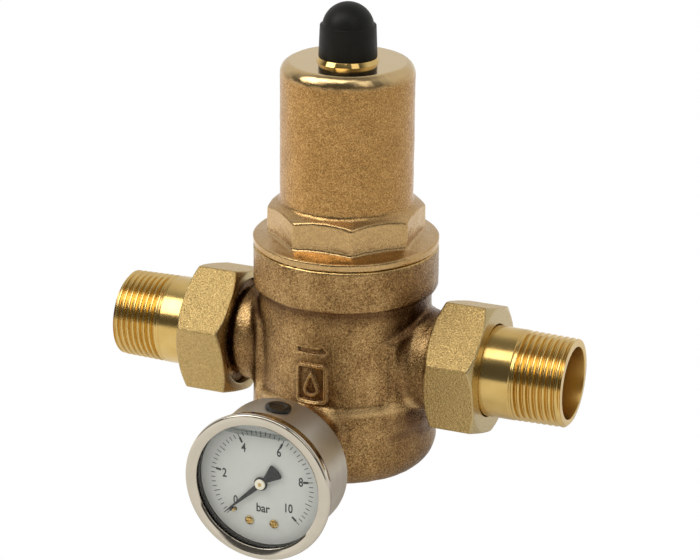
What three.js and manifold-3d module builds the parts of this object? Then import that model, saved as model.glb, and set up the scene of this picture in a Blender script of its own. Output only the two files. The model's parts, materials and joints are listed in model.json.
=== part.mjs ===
// Pressure reducing valve, DN 25, with union ends and a pressure gauge. Millimetres, +Z up.
// The origin is the centre of the body's flat foot, +X runs along the flow and the gauge faces -Y.
import * as THREE from 'three';
import { mergeVertices } from 'three/addons/utils/BufferGeometryUtils.js';
import Module from 'manifold-3d';

const wasm = await Module();
wasm.setup();

// ---- Driving dimensions ----
const GAP = 0.3; // clearance between pieces that touch
const SIDES = 24; // facets round the large turned faces
const MID_SIDES = 20; // facets round the middling ones
const SMALL_SIDES = 16; // facets round the small ones

const PIPE_Z = 40; // pipe axis above the foot
const OVERALL = 178; // between the tailpiece ends
const BORE_R = 13.2; // clear way through ports and tailpieces

const BODY = {
  foot: -4.1, footRound: 11, cupR: 34.4, cupTopR: 33.1, cupTop: 27.5,
  barrelR: 31.9, ringR: 34, ringBottom: 65.75, top: 81.3,
  flankR: 33.7, flankHalfWidth: 21, flankTop: 44, // side bulges that carry the ports
  neckR: 18.8, collarR: 20.7, collarFrom: 39.2, collarEnd: 45,
  bossR: 11.5, bossFace: 41, // gauge bosses, front and back
};
const WATERWAY = {
  lowerR: 28, lowerFrom: 6, lowerTo: 23.8, // outlet chamber in the cup
  inletR: 19, inletFrom: 31, inletTo: 50, // ring chamber round the cartridge
  seatBoreR: 14.3, flangeR: 20.3, flangeFrom: 56,
  diaphragmR: 24, diaphragmFrom: 60, ledge: 69, threadR: 29.3,
};
const BONNET = {
  spigotR: 29, spigotBottom: 72.9, from: 81.6, rimTop: 84.5, octagonFlats: 53.8, octagonTurn: 26,
  cornerTop: 95.7, cylinderR: 24.3, cylinderFrom: 101.5, top: 150.1, topFlatR: 21.2,
  springR: 19.3, springFrom: 88, springTo: 138, mouthR: 22, bushR: 8.3,
};
const BUSH = { flangeR: 11.1, top: 152, stemR: 8, neckR: 7.8, neckTop: 154.9, bottom: 137.5 };
const SPINDLE = { r: 4, bottom: 127.2, top: 163.5, hexFlats: 4 };
const CAP = {
  from: 152.3, footR: 10.54, shoulder: 163.2, shoulderR: 10.08, domeR: 9.3, top: 171.5, wall: 1.3,
};
const SPRING = { coilR: 13.9, wireR: 2.1, from: 74.9, to: 124.7, turns: 6.5 };

const NUT = { flats: 46, from: 39.6, to: 58.6, faceR: 23.2, boreR: 21, shoulder: 51.9, holeR: 17.1 };
const TAIL = { collarR: 20.3, from: 47.4, collarTo: 51.6, shankR: 16.7, threadFrom: 70.2, rootR: 15.3 };
const PIPE_THREAD = { crestR: 16.62, pitch: 2.309, ridges: 8 }; // R 1
const INLET_TURN = 15.5; // degrees from the front to the first corner of each nut
const OUTLET_TURN = 18.1;

const GAUGE = {
  x: 0.2, z: 16.7, roll: 1.25, // centre of the dial, and how far the gauge is turned
  caseBack: 57, caseFront: 76.8, caseR: 25, wall: 1,
  bezelBack: 75.2, bezelFront: 81.2, bezelR: 27.5, windowOpenR: 23.3,
  dialBack: 75.3, dialFront: 76, dialR: 23.6, windowBack: 78.9, windowFront: 79.9, windowR: 24.9,
  pointerBack: 76.9, pointerFront: 77.3, restAngle: 223.7,
  plugZ: 66.3, plugTurn: -5.7,
};
const MOVEMENT = {
  backPlate: 62.6, frontPlate: 71.4, plate: 1, halfWidth: 5.5, bottom: -15, top: 5.5,
  pinionPitchR: 1.8, sectorPitchR: 10.8, gearFrom: 66.5, gearTo: 68.5, pinionTeeth: 12,
  pivotY: -12.6,
};
const DIAL_SCREWS = [[-5.1, -15.1], [4.3, -15.1]]; // on the dial, from its centre
const STOP_PIN = [-10.7, -11.7];

// ---- Shape helpers ----
const rad = THREE.MathUtils.degToRad;

function welded(geometry) {
  const bare = geometry.index ? geometry.toNonIndexed() : geometry.clone();
  bare.deleteAttribute('normal');
  bare.deleteAttribute('uv');
  const merged = mergeVertices(bare, 1e-4);
  const corners = merged.index.array;
  const kept = [];
  for (let i = 0; i < corners.length; i += 3) {
    const [a, b, c] = [corners[i], corners[i + 1], corners[i + 2]];
    if (a !== b && b !== c && c !== a) kept.push(a, b, c);
  }
  merged.setIndex(kept);
  return merged;
}

function solid(geometry) {
  const closed = welded(geometry);
  return new wasm.Manifold(new wasm.Mesh({
    numProp: 3,
    vertProperties: new Float32Array(closed.attributes.position.array),
    triVerts: new Uint32Array(closed.index.array),
  }));
}

function surface(manifold) {
  const mesh = manifold.getMesh();
  const geometry = new THREE.BufferGeometry();
  geometry.setAttribute('position', new THREE.BufferAttribute(mesh.vertProperties, 3));
  geometry.setIndex(new THREE.BufferAttribute(mesh.triVerts, 1));
  geometry.computeVertexNormals();
  return geometry;
}

const joined = (...shapes) => surface(shapes.map(solid).reduce((a, b) => a.add(b)));
const cut = (shape, ...tools) => surface(tools.map(solid).reduce((a, b) => a.subtract(b), solid(shape)));
const common = (shape, tool) => surface(solid(shape).intersect(solid(tool)));

// A profile of [radius, height] points, turned about +Z.
function turned(profile, sides = SIDES) {
  let area = 0;
  profile.forEach(([r, h], i) => {
    const [nextR, nextH] = profile[(i + 1) % profile.length];
    area += r * nextH - nextR * h;
  });
  const points = profile.map(([r, h]) => new THREE.Vector2(r, h));
  if (area < 0) points.reverse();
  if (points[0].x > 0) points.push(points[0].clone());
  return new THREE.LatheGeometry(points, sides).rotateX(Math.PI / 2);
}

const disc = (r, from, to, sides) => turned([[0, from], [r, from], [r, to], [0, to]], sides);
const ring = (inner, outer, from, to, sides) => turned(
  [[inner, from], [outer, from], [outer, to], [inner, to]], sides);

function polygon(sides, flats, turn = 0) {
  const cornerR = flats / 2 / Math.cos(Math.PI / sides);
  const corners = Array.from({ length: sides }, (_, i) => {
    const angle = rad(turn) + (2 * Math.PI * i) / sides;
    return new THREE.Vector2(cornerR * Math.cos(angle), cornerR * Math.sin(angle));
  });
  return new THREE.Shape(corners);
}

const prism = (shape, from, to) => new THREE.ExtrudeGeometry(shape, {
  depth: to - from, bevelEnabled: false, curveSegments: SMALL_SIDES,
}).translate(0, 0, from);

const block = (x, y, z) => new THREE.BoxGeometry(x[1] - x[0], y[1] - y[0], z[1] - z[0])
  .translate((x[0] + x[1]) / 2, (y[0] + y[1]) / 2, (z[0] + z[1]) / 2);

// A shape drawn up the Z axis, laid along X, -X, the front (-Y) or the back (+Y).
const along = {
  right: (geometry) => geometry.rotateY(Math.PI / 2),
  left: (geometry) => geometry.rotateY(-Math.PI / 2),
  front: (geometry) => geometry.rotateX(Math.PI / 2),
  back: (geometry) => geometry.rotateX(-Math.PI / 2),
};

function piece(name, geometry, finish) {
  const [color, roughness, metalness] = finish;
  const material = new THREE.MeshStandardMaterial({ color, roughness, metalness, flatShading: true });
  const mesh = new THREE.Mesh(geometry, material);
  mesh.name = name;
  return mesh;
}

const FINISH = {
  castBody: [0x8a6a3e, 0.6, 0.8], castBonnet: [0xa98150, 0.6, 0.8], forgedNut: [0xb79d63, 0.5, 0.9],
  turnedBrass: [0xcdaa62, 0.2, 1], steel: [0xb9b7b0, 0.3, 1], spring: [0x6f7276, 0.4, 1],
  rubber: [0x1b1b1c, 0.8, 0], blackPlastic: [0x202124, 0.5, 0], whitePlastic: [0xd8d6cc, 0.5, 0],
  bezel: [0xcfcabd, 0.12, 1], gaugeCase: [0xb5afa3, 0.3, 1], dial: [0xd5dad9, 0.6, 0],
  glass: [0xe8f0f0, 0.05, 0], pointer: [0x15161a, 0.4, 0],
};

// ---- Valve body ----
function portOutside() {
  const { neckR, collarR, collarFrom, collarEnd, flankR } = BODY;
  return turned([
    [0, 15], [20.2, 15], [20.6, flankR - 3], [19.8, flankR + 0.6], [neckR, flankR + 2.4],
    [neckR, flankR + 3.4], [collarR - 0.5, collarFrom], [collarR, collarFrom + 0.6],
    [collarR, collarEnd - 0.8], [collarR - 0.8, collarEnd], [0, collarEnd],
  ]);
}

function gaugeBoss() {
  return turned([
    [0, 26], [BODY.bossR + 2, 26], [BODY.bossR, 34.5], [BODY.bossR, BODY.bossFace - 0.8],
    [BODY.bossR - 0.8, BODY.bossFace], [0, BODY.bossFace],
  ], SMALL_SIDES);
}

function gaugePort() {
  return turned([[0, 20], [4, 20], [4, 31], [6.9, 31], [6.9, 43], [0, 43]], SMALL_SIDES);
}

function valveBody() {
  const { cupR, cupTop, cupTopR, barrelR, ringR, ringBottom, top, flankR, flankHalfWidth, flankTop } = BODY;
  const { foot, footRound } = BODY;
  const footEdge = [0, 18, 36, 54, 72, 90].map((turn) => [
    cupR - footRound * (1 - Math.sin(rad(turn))), foot + footRound * (1 - Math.cos(rad(turn))),
  ]);
  const barrel = turned([
    [0, foot], ...footEdge, [cupTopR, cupTop - 2], [barrelR, cupTop + 0.8],
    [barrelR, ringBottom - 1.8], [ringR - 1, ringBottom], [ringR, ringBottom + 1.4], [ringR, top], [0, top],
  ]);
  const flanks = common(
    disc(flankR, cupTop - 8, flankTop),
    block([-flankR - 5, flankR + 5], [-flankHalfWidth, flankHalfWidth], [cupTop - 9, flankTop + 1]),
  );
  const outside = joined(
    barrel, flanks,
    along.right(portOutside()).translate(0, 0, PIPE_Z), along.left(portOutside()).translate(0, 0, PIPE_Z),
    along.front(gaugeBoss()).translate(GAUGE.x, 0, GAUGE.z),
    along.back(gaugeBoss()).translate(0, 0, GAUGE.z),
  );
  const w = WATERWAY;
  const stack = turned([
    [0, w.inletFrom], [w.inletR, w.inletFrom], [w.inletR, w.inletTo], [16.4, w.inletTo],
    [16.4, w.flangeFrom], [w.flangeR, w.flangeFrom], [w.flangeR, w.diaphragmFrom],
    [w.diaphragmR, w.diaphragmFrom], [w.diaphragmR, w.ledge], [w.threadR, w.ledge],
    [w.threadR, top + 1], [0, top + 1],
  ]);
  const outletTurn = 22.5; // the outlet bore ends here and drops to the lower chamber
  return cut(
    outside,
    disc(w.lowerR, w.lowerFrom, w.lowerTo),
    disc(w.seatBoreR, w.lowerTo - 1, w.inletFrom + 1),
    stack,
    along.left(disc(BORE_R, 15, BODY.collarEnd + 1)).translate(0, 0, PIPE_Z),
    along.right(disc(BORE_R, outletTurn, BODY.collarEnd + 1)).translate(0, 0, PIPE_Z),
    block([outletTurn, 29], [-8.5, 8.5], [w.lowerTo - 6, PIPE_Z]),
    disc(1.2, PIPE_Z, w.diaphragmFrom + 1, 8).translate(23, 0, 0),
    along.front(gaugePort()).translate(GAUGE.x, 0, GAUGE.z),
    along.back(gaugePort()).translate(0, 0, GAUGE.z),
  );
}

// ---- Bonnet and what turns and slides in its top ----
function bonnet() {
  const b = BONNET;
  const foot = turned([
    [0, b.spigotBottom], [b.spigotR - 1, b.spigotBottom], [b.spigotR, b.spigotBottom + 1],
    [b.spigotR, b.from], [BODY.ringR, b.from], [BODY.ringR, b.rimTop], [26, b.rimTop + 2.2],
    [0, b.rimTop + 2.2],
  ]);
  const octagon = common(
    prism(polygon(8, b.octagonFlats, b.octagonTurn - 90), b.rimTop, b.cylinderFrom),
    turned([[0, b.rimTop], [31, b.rimTop], [31, b.cornerTop - 1.1], [25.6, b.cornerTop + 2.1],
      [b.cylinderR + 0.2, b.cylinderFrom], [0, b.cylinderFrom]]),
  );
  const cylinder = turned([
    [0, b.rimTop], [b.cylinderR, b.rimTop], [b.cylinderR, b.top - 3.1], [b.cylinderR - 0.9, b.top - 0.9],
    [b.topFlatR, b.top], [0, b.top],
  ]);
  const inside = turned([
    [0, b.spigotBottom - 1], [b.mouthR, b.spigotBottom - 1], [b.mouthR, b.springFrom - 2.7],
    [b.springR, b.springFrom], [b.springR, b.springTo], [b.bushR, b.springTo], [b.bushR, b.top + 1],
    [0, b.top + 1],
  ]);
  return cut(joined(foot, octagon, cylinder), inside);
}

function spindleBush() {
  const boreR = SPINDLE.r + GAP;
  return turned([
    [boreR, BUSH.bottom], [BUSH.stemR, BUSH.bottom], [BUSH.stemR, BONNET.top + GAP],
    [BUSH.flangeR, BONNET.top + GAP], [BUSH.flangeR, BUSH.top - 0.3], [BUSH.flangeR - 0.3, BUSH.top],
    [BUSH.neckR, BUSH.top], [BUSH.neckR, BUSH.neckTop], [boreR, BUSH.neckTop],
  ], MID_SIDES);
}

function adjustingSpindle() {
  const { r, bottom, top, hexFlats } = SPINDLE;
  const rod = turned([
    [0, bottom], [r - 1.4, bottom], [r, bottom + 1.4], [r, top - 0.8], [r - 0.8, top], [0, top],
  ], SMALL_SIDES);
  return cut(rod, prism(polygon(6, hexFlats), top - 5, top + 1));
}

function lockNut() {
  const from = BUSH.neckTop + GAP;
  return cut(prism(polygon(6, 13), from, from + 4), disc(SPINDLE.r + GAP, from - 1, from + 5, SMALL_SIDES));
}

function cap() {
  const { from, footR, shoulder, shoulderR, domeR, top, wall } = CAP;
  const domeSteps = 4;
  const dome = (r, base, crown) => Array.from({ length: domeSteps }, (_, i) => {
    const angle = (Math.PI / 2) * (i / domeSteps);
    return [r * Math.cos(angle), base + (crown - base) * Math.sin(angle)];
  });
  const foot = [[footR, from], [shoulderR, shoulder], [domeR, shoulder + 0.5]];
  const outside = [...foot, ...dome(domeR, shoulder + 2.4, top)];
  const inside = [...dome(domeR - wall, shoulder + 2.4, top - wall).reverse(), [footR - wall, from]];
  return turned([...outside, [0, top], [0, top - wall], ...inside], MID_SIDES);
}

// ---- Spring, diaphragm and plates ----
function upperSpringPlate() {
  return turned([
    [0, 125], [8, 121.5], [10.5, 121.5], [11.2, 125], [17.6, 125], [17.6, 128.4], [4.4, 128.4],
    [4.4, SPINDLE.bottom - GAP], [0, SPINDLE.bottom - GAP],
  ], MID_SIDES);
}

class Coil extends THREE.Curve {
  getPoint(t, target = new THREE.Vector3()) {
    const angle = 2 * Math.PI * SPRING.turns * t;
    const rise = SPRING.to - SPRING.from - 2 * SPRING.wireR;
    return target.set(SPRING.coilR * Math.cos(angle), SPRING.coilR * Math.sin(angle),
      SPRING.from + SPRING.wireR + rise * t);
  }
}

const roundShape = (r, sides) => polygon(sides, 2 * r * Math.cos(Math.PI / sides));

function mainSpring() {
  return new THREE.ExtrudeGeometry(roundShape(SPRING.wireR, 6), {
    steps: Math.round(SPRING.turns * 12), bevelEnabled: false, extrudePath: new Coil(),
  });
}

function lowerSpringPlate() {
  return turned([
    [3.3, 71.6], [18.4, 71.6], [18.4, 77.6], [17.1, 77.6], [17.1, 74.6], [10.6, 74.6], [9, 77], [3.3, 77],
  ], MID_SIDES);
}

function diaphragm() {
  return turned([
    [3.4, 69.3], [19.3, 69.3], [20.4, 70.4], [21.3, 70.8], [22.2, 70.4], [23.2, 69.3], [28.6, 69.3],
    [28.6, 71.3], [23.8, 71.3], [22.4, 72.6], [21.3, 73], [20.2, 72.6], [18.9, 71.3], [3.4, 71.3],
  ], MID_SIDES);
}

const lowerDiaphragmPlate = () => turned([
  [3.3, 65.2], [8, 65.2], [9.5, 66.6], [18.9, 66.6], [19, 69], [3.3, 69],
], MID_SIDES);

// ---- Stem, piston, disc and seat ----
const valveStem = () => turned([
  [0, 12.6], [2.5, 12.6], [2.5, 21.6], [4.2, 21.6], [4.2, 51.6], [3, 51.6], [3, 82.6], [0, 82.6],
], SMALL_SIDES);

const balancePiston = () => turned([
  [3.3, 51.9], [10, 51.9], [10, 53.3], [8.5, 53.3], [8.5, 55.7], [10, 55.7], [10, 57.1], [6, 57.1],
  [6, 64.9], [3.3, 64.9],
], MID_SIDES);

const oRing = (middleR, height, thick) => turned(
  Array.from({ length: 6 }, (_, i) => [
    middleR + (thick / 2) * Math.cos(rad(60 * i)), height + (thick / 2) * Math.sin(rad(60 * i)),
  ]), MID_SIDES);

const discHolder = () => turned([
  [2.8, 17.4], [10.6, 17.4], [12.4, 19], [12.4, 21.1], [11.4, 21.1], [11.4, 19.1], [2.8, 19.1],
], MID_SIDES);

const valveDisc = () => ring(2.8, 11.1, 19.4, 21.3, MID_SIDES);

const hexNut = (flats, boreR, from, to) => cut(
  prism(polygon(6, flats), from, to), disc(boreR, from - 1, to + 1, SMALL_SIDES));

function seatCartridge() {
  const sleeve = turned([
    [9.4, 24.2], [10.2, 24.2], [13.9, 25.4], [13.9, 26.4], [12.5, 26.4], [12.5, 29.4], [13.9, 29.4],
    [13.9, 56.3], [19.9, 56.3], [19.9, 57], [18.5, 57], [18.5, 59.2], [19.9, 59.2], [19.9, 59.7],
    [10.3, 59.7], [10.3, 51], [11, 49.5], [11, 31], [9.4, 29],
  ], MID_SIDES);
  const windows = Array.from({ length: 3 }, (_, i) => (
    block([-15, 15], [-3.4, 3.4], [32.5, 48.5]).rotateZ(rad(60 * i))));
  return cut(sleeve, ...windows);
}

function strainer() {
  const sleeve = ring(14.9, 15.9, 31.4, 55.9, MID_SIDES);
  const columns = 5;
  const rows = [36, 43.5];
  const holes = rows.flatMap((z) => Array.from({ length: columns }, (_, i) => (
    block([-18, 18], [-2.2, 2.2], [z - 2.8, z + 2.8]).rotateZ(rad(15 + (180 / columns) * i)))));
  return cut(sleeve, ...holes);
}

// ---- Unions: drawn with the pipe axis as Z, outwards from the valve axis ----
function unionNut() {
  const slope = Math.tan(rad(30));
  const middle = (NUT.from + NUT.to) / 2;
  const half = middle - NUT.from;
  const reach = 5;
  const chamfers = turned([
    [0, middle - half], [NUT.faceR, middle - half], [NUT.faceR + reach, middle - half + reach * slope],
    [NUT.faceR + reach, middle + half - reach * slope], [NUT.faceR, middle + half], [0, middle + half],
  ]);
  const hexagon = common(prism(polygon(6, NUT.flats), NUT.from, NUT.to), chamfers);
  const bore = turned([
    [0, NUT.from - 1], [NUT.boreR + 1.9, NUT.from - 1], [NUT.boreR, NUT.from + 1], [NUT.boreR, NUT.shoulder],
    [NUT.holeR, NUT.shoulder], [NUT.holeR, NUT.to + 1], [0, NUT.to + 1],
  ]);
  return cut(hexagon, bore);
}

function tailpiece() {
  const end = OVERALL / 2;
  const { crestR, pitch, ridges } = PIPE_THREAD;
  const threadEnd = end - 0.4;
  const thread = Array.from({ length: ridges }, (_, i) => threadEnd - (ridges - i) * pitch)
    .flatMap((z) => [[TAIL.rootR, z + 0.25 * pitch], [crestR, z + 0.75 * pitch]]);
  const outside = [
    [TAIL.collarR, TAIL.from], [TAIL.collarR, TAIL.collarTo], [TAIL.shankR, TAIL.collarTo],
    [TAIL.shankR, TAIL.threadFrom - 0.4], ...thread, [16.2, end],
  ];
  return turned([[BORE_R, TAIL.from], ...outside, [BORE_R, end]], MID_SIDES);
}

const unionGasket = () => ring(13.6, 20.1, BODY.collarEnd + GAP, TAIL.from - GAP, MID_SIDES);

function union(side) {
  const cornerTurn = { inlet: INLET_TURN, outlet: -OUTLET_TURN }[side];
  const group = new THREE.Group();
  group.position.z = PIPE_Z;
  group.rotation.y = { inlet: -Math.PI / 2, outlet: Math.PI / 2 }[side];
  const nut = piece(`${side}_union_nut`, unionNut(), FINISH.forgedNut);
  nut.rotation.z = rad(cornerTurn - 90);
  group.add(
    nut,
    piece(`${side}_tailpiece`, tailpiece(), FINISH.turnedBrass),
    piece(`${side}_union_gasket`, unionGasket(), FINISH.rubber),
  );
  return group;
}

// ---- Plug of the second gauge port, on the back ----
function rearPlug() {
  const { bossFace } = BODY;
  const stub = turned([
    [0, 32], [5.7, 32], [6.5, 32.8], [6.5, bossFace + 1], [9.2, bossFace + 1], [9.2, bossFace + 2.5],
    [0, bossFace + 2.5],
  ], SMALL_SIDES);
  return joined(stub, prism(polygon(6, 13), bossFace + 2, bossFace + 8));
}

const portSeal = () => ring(6.9, 9.2, BODY.bossFace + 0.15, BODY.bossFace + 0.8, SMALL_SIDES);

// ---- Gauge: drawn with x to the right, y up and z out of the dial ----
function gaugeSocket() {
  const { caseBack } = GAUGE;
  const stub = turned([[0, 32.2], [5.7, 32.2], [6.5, 33], [6.5, 43], [0, 43]], SMALL_SIDES);
  const collar = disc(9.2, 42, 44, SMALL_SIDES);
  const square = prism(polygon(4, 14, 45), 43.5, caseBack - GAP);
  const neck = disc(5.1, caseBack - 1, 59.5, SMALL_SIDES);
  const base = block([-4, 4], [-19.6, 5.5], [58.6, 62]);
  const post = block([-1.6, 4], [-19.6, -16.6], [61, 69.4]);
  const channel = disc(1.5, 31, 61, 12);
  const riser = disc(1, 60, 70, 8).translate(1.2, -18.1, 0);
  const crossing = block([-0.8, 0.8], [-18.1, 0.5], [59.6, 61]);
  return cut(joined(stub, collar, square, neck, base, post), channel, riser, crossing);
}

function gaugeCase() {
  const { caseBack, caseFront, caseR, wall } = GAUGE;
  const shell = turned([
    [5.5, caseBack], [caseR - 1.5, caseBack], [caseR, caseBack + 1.5], [caseR, caseFront],
    [caseR - wall, caseFront], [caseR - wall, caseBack + wall + 0.5], [caseR - wall - 1, caseBack + wall],
    [5.5, caseBack + wall],
  ]);
  return cut(shell, onCase([[0, 20], [3.4, 20], [3.4, 30], [0, 30]]));
}

// The filling plug stands on the case, along its own radius.
const onCase = (profile) => turned(profile, MID_SIDES)
  .rotateX(-Math.PI / 2).translate(0, 0, GAUGE.plugZ).rotateZ(rad(GAUGE.plugTurn));

function gaugeFillPlug() {
  const headFrom = GAUGE.caseR + GAP;
  return onCase([[0, 22.6], [3.1, 22.6], [3.1, headFrom], [4.7, headFrom], [4.7, 26.4], [0, 26.4]]);
}

function gaugeBezel() {
  const { bezelBack, bezelFront, bezelR, windowOpenR, windowFront } = GAUGE;
  const boreR = GAUGE.caseR + GAP;
  return turned([
    [boreR, bezelBack], [boreR + 0.7, bezelBack], [bezelR - 0.9, bezelBack + 1],
    [bezelR - 0.2, bezelFront - 2.8], [bezelR, bezelFront - 1.6], [bezelR - 0.4, bezelFront - 0.5],
    [bezelR - 1.5, bezelFront], [bezelR - 2.9, bezelFront - 0.1], [windowOpenR, bezelFront - 0.7],
    [windowOpenR, windowFront + GAP], [boreR, windowFront + GAP],
  ]);
}

const gaugeWindow = () => disc(GAUGE.windowR, GAUGE.windowBack, GAUGE.windowFront);
const windowGasket = () => ring(23.4, 25, GAUGE.caseFront + GAP, GAUGE.windowBack - GAP);

function gaugeDial() {
  const screwHoles = DIAL_SCREWS.map(([x, y]) => disc(1, 70, 78, 10).translate(x, y, 0));
  return cut(
    disc(GAUGE.dialR, GAUGE.dialBack, GAUGE.dialFront),
    disc(1.6, 70, 78, 12), disc(0.8, 70, 78, 8).translate(...STOP_PIN, 0), ...screwHoles,
  );
}

function dialScrew() {
  const head = turned([
    [0, 74.2], [0.7, 74.2], [0.7, GAUGE.dialFront + 0.2], [1.6, GAUGE.dialFront + 0.2],
    [1.6, GAUGE.dialFront + 0.5], [1.2, GAUGE.dialFront + 0.8], [0, GAUGE.dialFront + 0.8],
  ], 12);
  return cut(head, block([-2, 2], [-0.2, 0.2], [GAUGE.dialFront + 0.5, GAUGE.dialFront + 1]));
}

const stopPin = () => disc(0.5, 74.2, 77.6, 10);

function gaugePointer() {
  const tailR = 8.9;
  const tailSpread = rad(17.8);
  const outline = new THREE.Shape();
  outline.moveTo(19.6, 0.15);
  outline.lineTo(2.4, 0.75);
  outline.absarc(0, 0, 2.5, rad(17), rad(163), false);
  outline.lineTo(-tailR * Math.cos(tailSpread), tailR * Math.sin(tailSpread));
  outline.absarc(0, 0, tailR, Math.PI - tailSpread, Math.PI + tailSpread, false);
  outline.absarc(0, 0, 2.5, rad(197), rad(343), false);
  outline.lineTo(2.4, -0.75);
  outline.lineTo(19.6, -0.15);
  const blade = new THREE.ExtrudeGeometry(outline, {
    depth: GAUGE.pointerFront - GAUGE.pointerBack, bevelEnabled: false, curveSegments: 10,
  }).translate(0, 0, GAUGE.pointerBack);
  return cut(blade, disc(1.1, 70, 80, 12));
}

const pointerBoss = () => turned([
  [0, 77.6], [1.9, 77.6], [1.9, 78.1], [1.7, 78.3], [0.8, 78.4], [0, 78.4],
], SMALL_SIDES);

function toothOutline(pitchR, teeth, count, first) {
  const root = pitchR - 0.42;
  const tip = pitchR + 0.26;
  const step = 360 / teeth;
  return Array.from({ length: count }, (_, i) => first + step * i).flatMap((angle) => [
    [root, angle - 0.34 * step], [tip, angle - 0.1 * step],
    [tip, angle + 0.1 * step], [root, angle + 0.34 * step],
  ]).map(([r, angle]) => new THREE.Vector2(r * Math.cos(rad(angle)), r * Math.sin(rad(angle))));
}

function pinionShaft() {
  const { gearFrom, gearTo, pinionPitchR, pinionTeeth } = MOVEMENT;
  const rod = disc(0.75, MOVEMENT.backPlate - 0.6, GAUGE.pointerFront, 12);
  const teeth = new THREE.Shape(toothOutline(pinionPitchR, pinionTeeth, pinionTeeth, -90));
  return joined(rod, prism(teeth, gearFrom - 0.5, gearTo + 0.5));
}

function sectorGear() {
  const { gearFrom, gearTo, sectorPitchR, pinionPitchR, pinionTeeth } = MOVEMENT;
  const teeth = (pinionTeeth * sectorPitchR) / pinionPitchR;
  const step = 360 / teeth;
  const count = 12;
  const first = 90 - step / 2 - step * 10;
  const rim = toothOutline(sectorPitchR, teeth, count, first);
  const tail = [new THREE.Vector2(3.2, 3.2), new THREE.Vector2(8.2, -1.2), new THREE.Vector2(6.9, -3.2),
    new THREE.Vector2(-1.2, -2.2), new THREE.Vector2(-2.2, 0), new THREE.Vector2(-1.2, 2)];
  // The rim runs anticlockwise from the right; the hub and tail close the outline below it.
  const outline = new THREE.Shape([...rim, tail[5], tail[4], tail[3], tail[2], tail[1], tail[0]]);
  const arbor = disc(0.8, MOVEMENT.backPlate - 0.6, MOVEMENT.frontPlate + 1.6, 12);
  const pivotHole = disc(0.9, gearFrom - 1, gearTo + 1, 10).translate(6.9, -2, 0);
  return cut(joined(prism(outline, gearFrom, gearTo), arbor), pivotHole);
}

function movementPlate(from) {
  const { halfWidth, bottom, top, plate, pivotY } = MOVEMENT;
  return cut(
    block([-halfWidth, halfWidth], [bottom, top], [from, from + plate]),
    disc(1.05, from - 1, from + 2, 12), disc(1.1, from - 1, from + 2, 12).translate(0, pivotY, 0),
  );
}

const movementPillar = () => disc(
  0.9, MOVEMENT.backPlate + MOVEMENT.plate + GAP, MOVEMENT.frontPlate - GAP, 12);

function movementLink() {
  const bar = block([5.9, 7.9], [-2.6, 5.6], [69.1, 69.7]);
  const pin = disc(0.55, 66.6, 69.6, 10).translate(6.9, -2, 0);
  return joined(bar, pin);
}

class TubeArc extends THREE.Curve {
  getPoint(t, target = new THREE.Vector3()) {
    const angle = rad(262 - 250 * t);
    return target.set(18 * Math.cos(angle), 18 * Math.sin(angle), 66);
  }
}

function bourdonTube() {
  const section = new THREE.Shape([[-0.5, -2.8], [0.5, -2.8], [0.8, -2], [0.8, 2], [0.5, 2.8], [-0.5, 2.8],
    [-0.8, 2], [-0.8, -2]].map(([x, y]) => new THREE.Vector2(y, x)));
  return new THREE.ExtrudeGeometry(section, { steps: 28, bevelEnabled: false, extrudePath: new TubeArc() });
}

function gauge() {
  const group = new THREE.Group();
  group.position.set(GAUGE.x, 0, GAUGE.z);
  group.rotation.x = Math.PI / 2;
  const dialSide = new THREE.Group();
  dialSide.rotation.z = rad(GAUGE.roll);
  group.add(dialSide);

  const screws = DIAL_SCREWS.map(([x, y], i) => {
    const screw = piece(`dial_screw_${i + 1}`, dialScrew(), FINISH.turnedBrass);
    screw.position.set(x, y, 0);
    return screw;
  });
  const pin = piece('dial_stop_pin', stopPin(), FINISH.turnedBrass);
  pin.position.set(...STOP_PIN, 0);
  const pointer = piece('gauge_pointer', gaugePointer(), FINISH.pointer);
  pointer.rotation.z = rad(GAUGE.restAngle - GAUGE.roll);
  const sector = piece('sector_gear', sectorGear(), FINISH.turnedBrass);
  sector.position.y = MOVEMENT.pivotY;
  const link = piece('movement_link', movementLink(), FINISH.turnedBrass);
  link.position.y = MOVEMENT.pivotY;
  const pillars = [-4, 4].map((x, i) => {
    const pillar = piece(`movement_pillar_${i + 1}`, movementPillar(), FINISH.turnedBrass);
    pillar.position.set(x, 4, 0);
    return pillar;
  });
  dialSide.add(
    piece('gauge_socket', gaugeSocket(), FINISH.turnedBrass),
    piece('gauge_seal', portSeal(), FINISH.rubber),
    piece('gauge_case', gaugeCase(), FINISH.gaugeCase),
    piece('gauge_fill_plug', gaugeFillPlug(), FINISH.rubber),
    piece('gauge_bezel', gaugeBezel(), FINISH.bezel),
    piece('gauge_window', gaugeWindow(), FINISH.glass),
    piece('window_gasket', windowGasket(), FINISH.rubber),
    piece('gauge_dial', gaugeDial(), FINISH.dial),
    ...screws, pin, pointer,
    piece('pointer_boss', pointerBoss(), FINISH.whitePlastic),
    piece('pinion_shaft', pinionShaft(), FINISH.turnedBrass),
    sector, link,
    piece('movement_back_plate', movementPlate(MOVEMENT.backPlate), FINISH.turnedBrass),
    piece('movement_front_plate', movementPlate(MOVEMENT.frontPlate), FINISH.turnedBrass),
    ...pillars,
    piece('bourdon_tube', bourdonTube(), FINISH.turnedBrass),
  );
  return group;
}

// ---- Assembly, drawn about the pipe and set with its foot on the ground ----
const valve = new THREE.Group();
const assembly = new THREE.Group();
assembly.position.z = -BODY.foot;
valve.add(assembly);

const rearPort = new THREE.Group();
rearPort.position.z = GAUGE.z;
rearPort.rotation.x = -Math.PI / 2;
rearPort.add(
  piece('rear_port_plug', rearPlug(), FINISH.turnedBrass),
  piece('rear_port_seal', portSeal(), FINISH.rubber),
);

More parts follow.
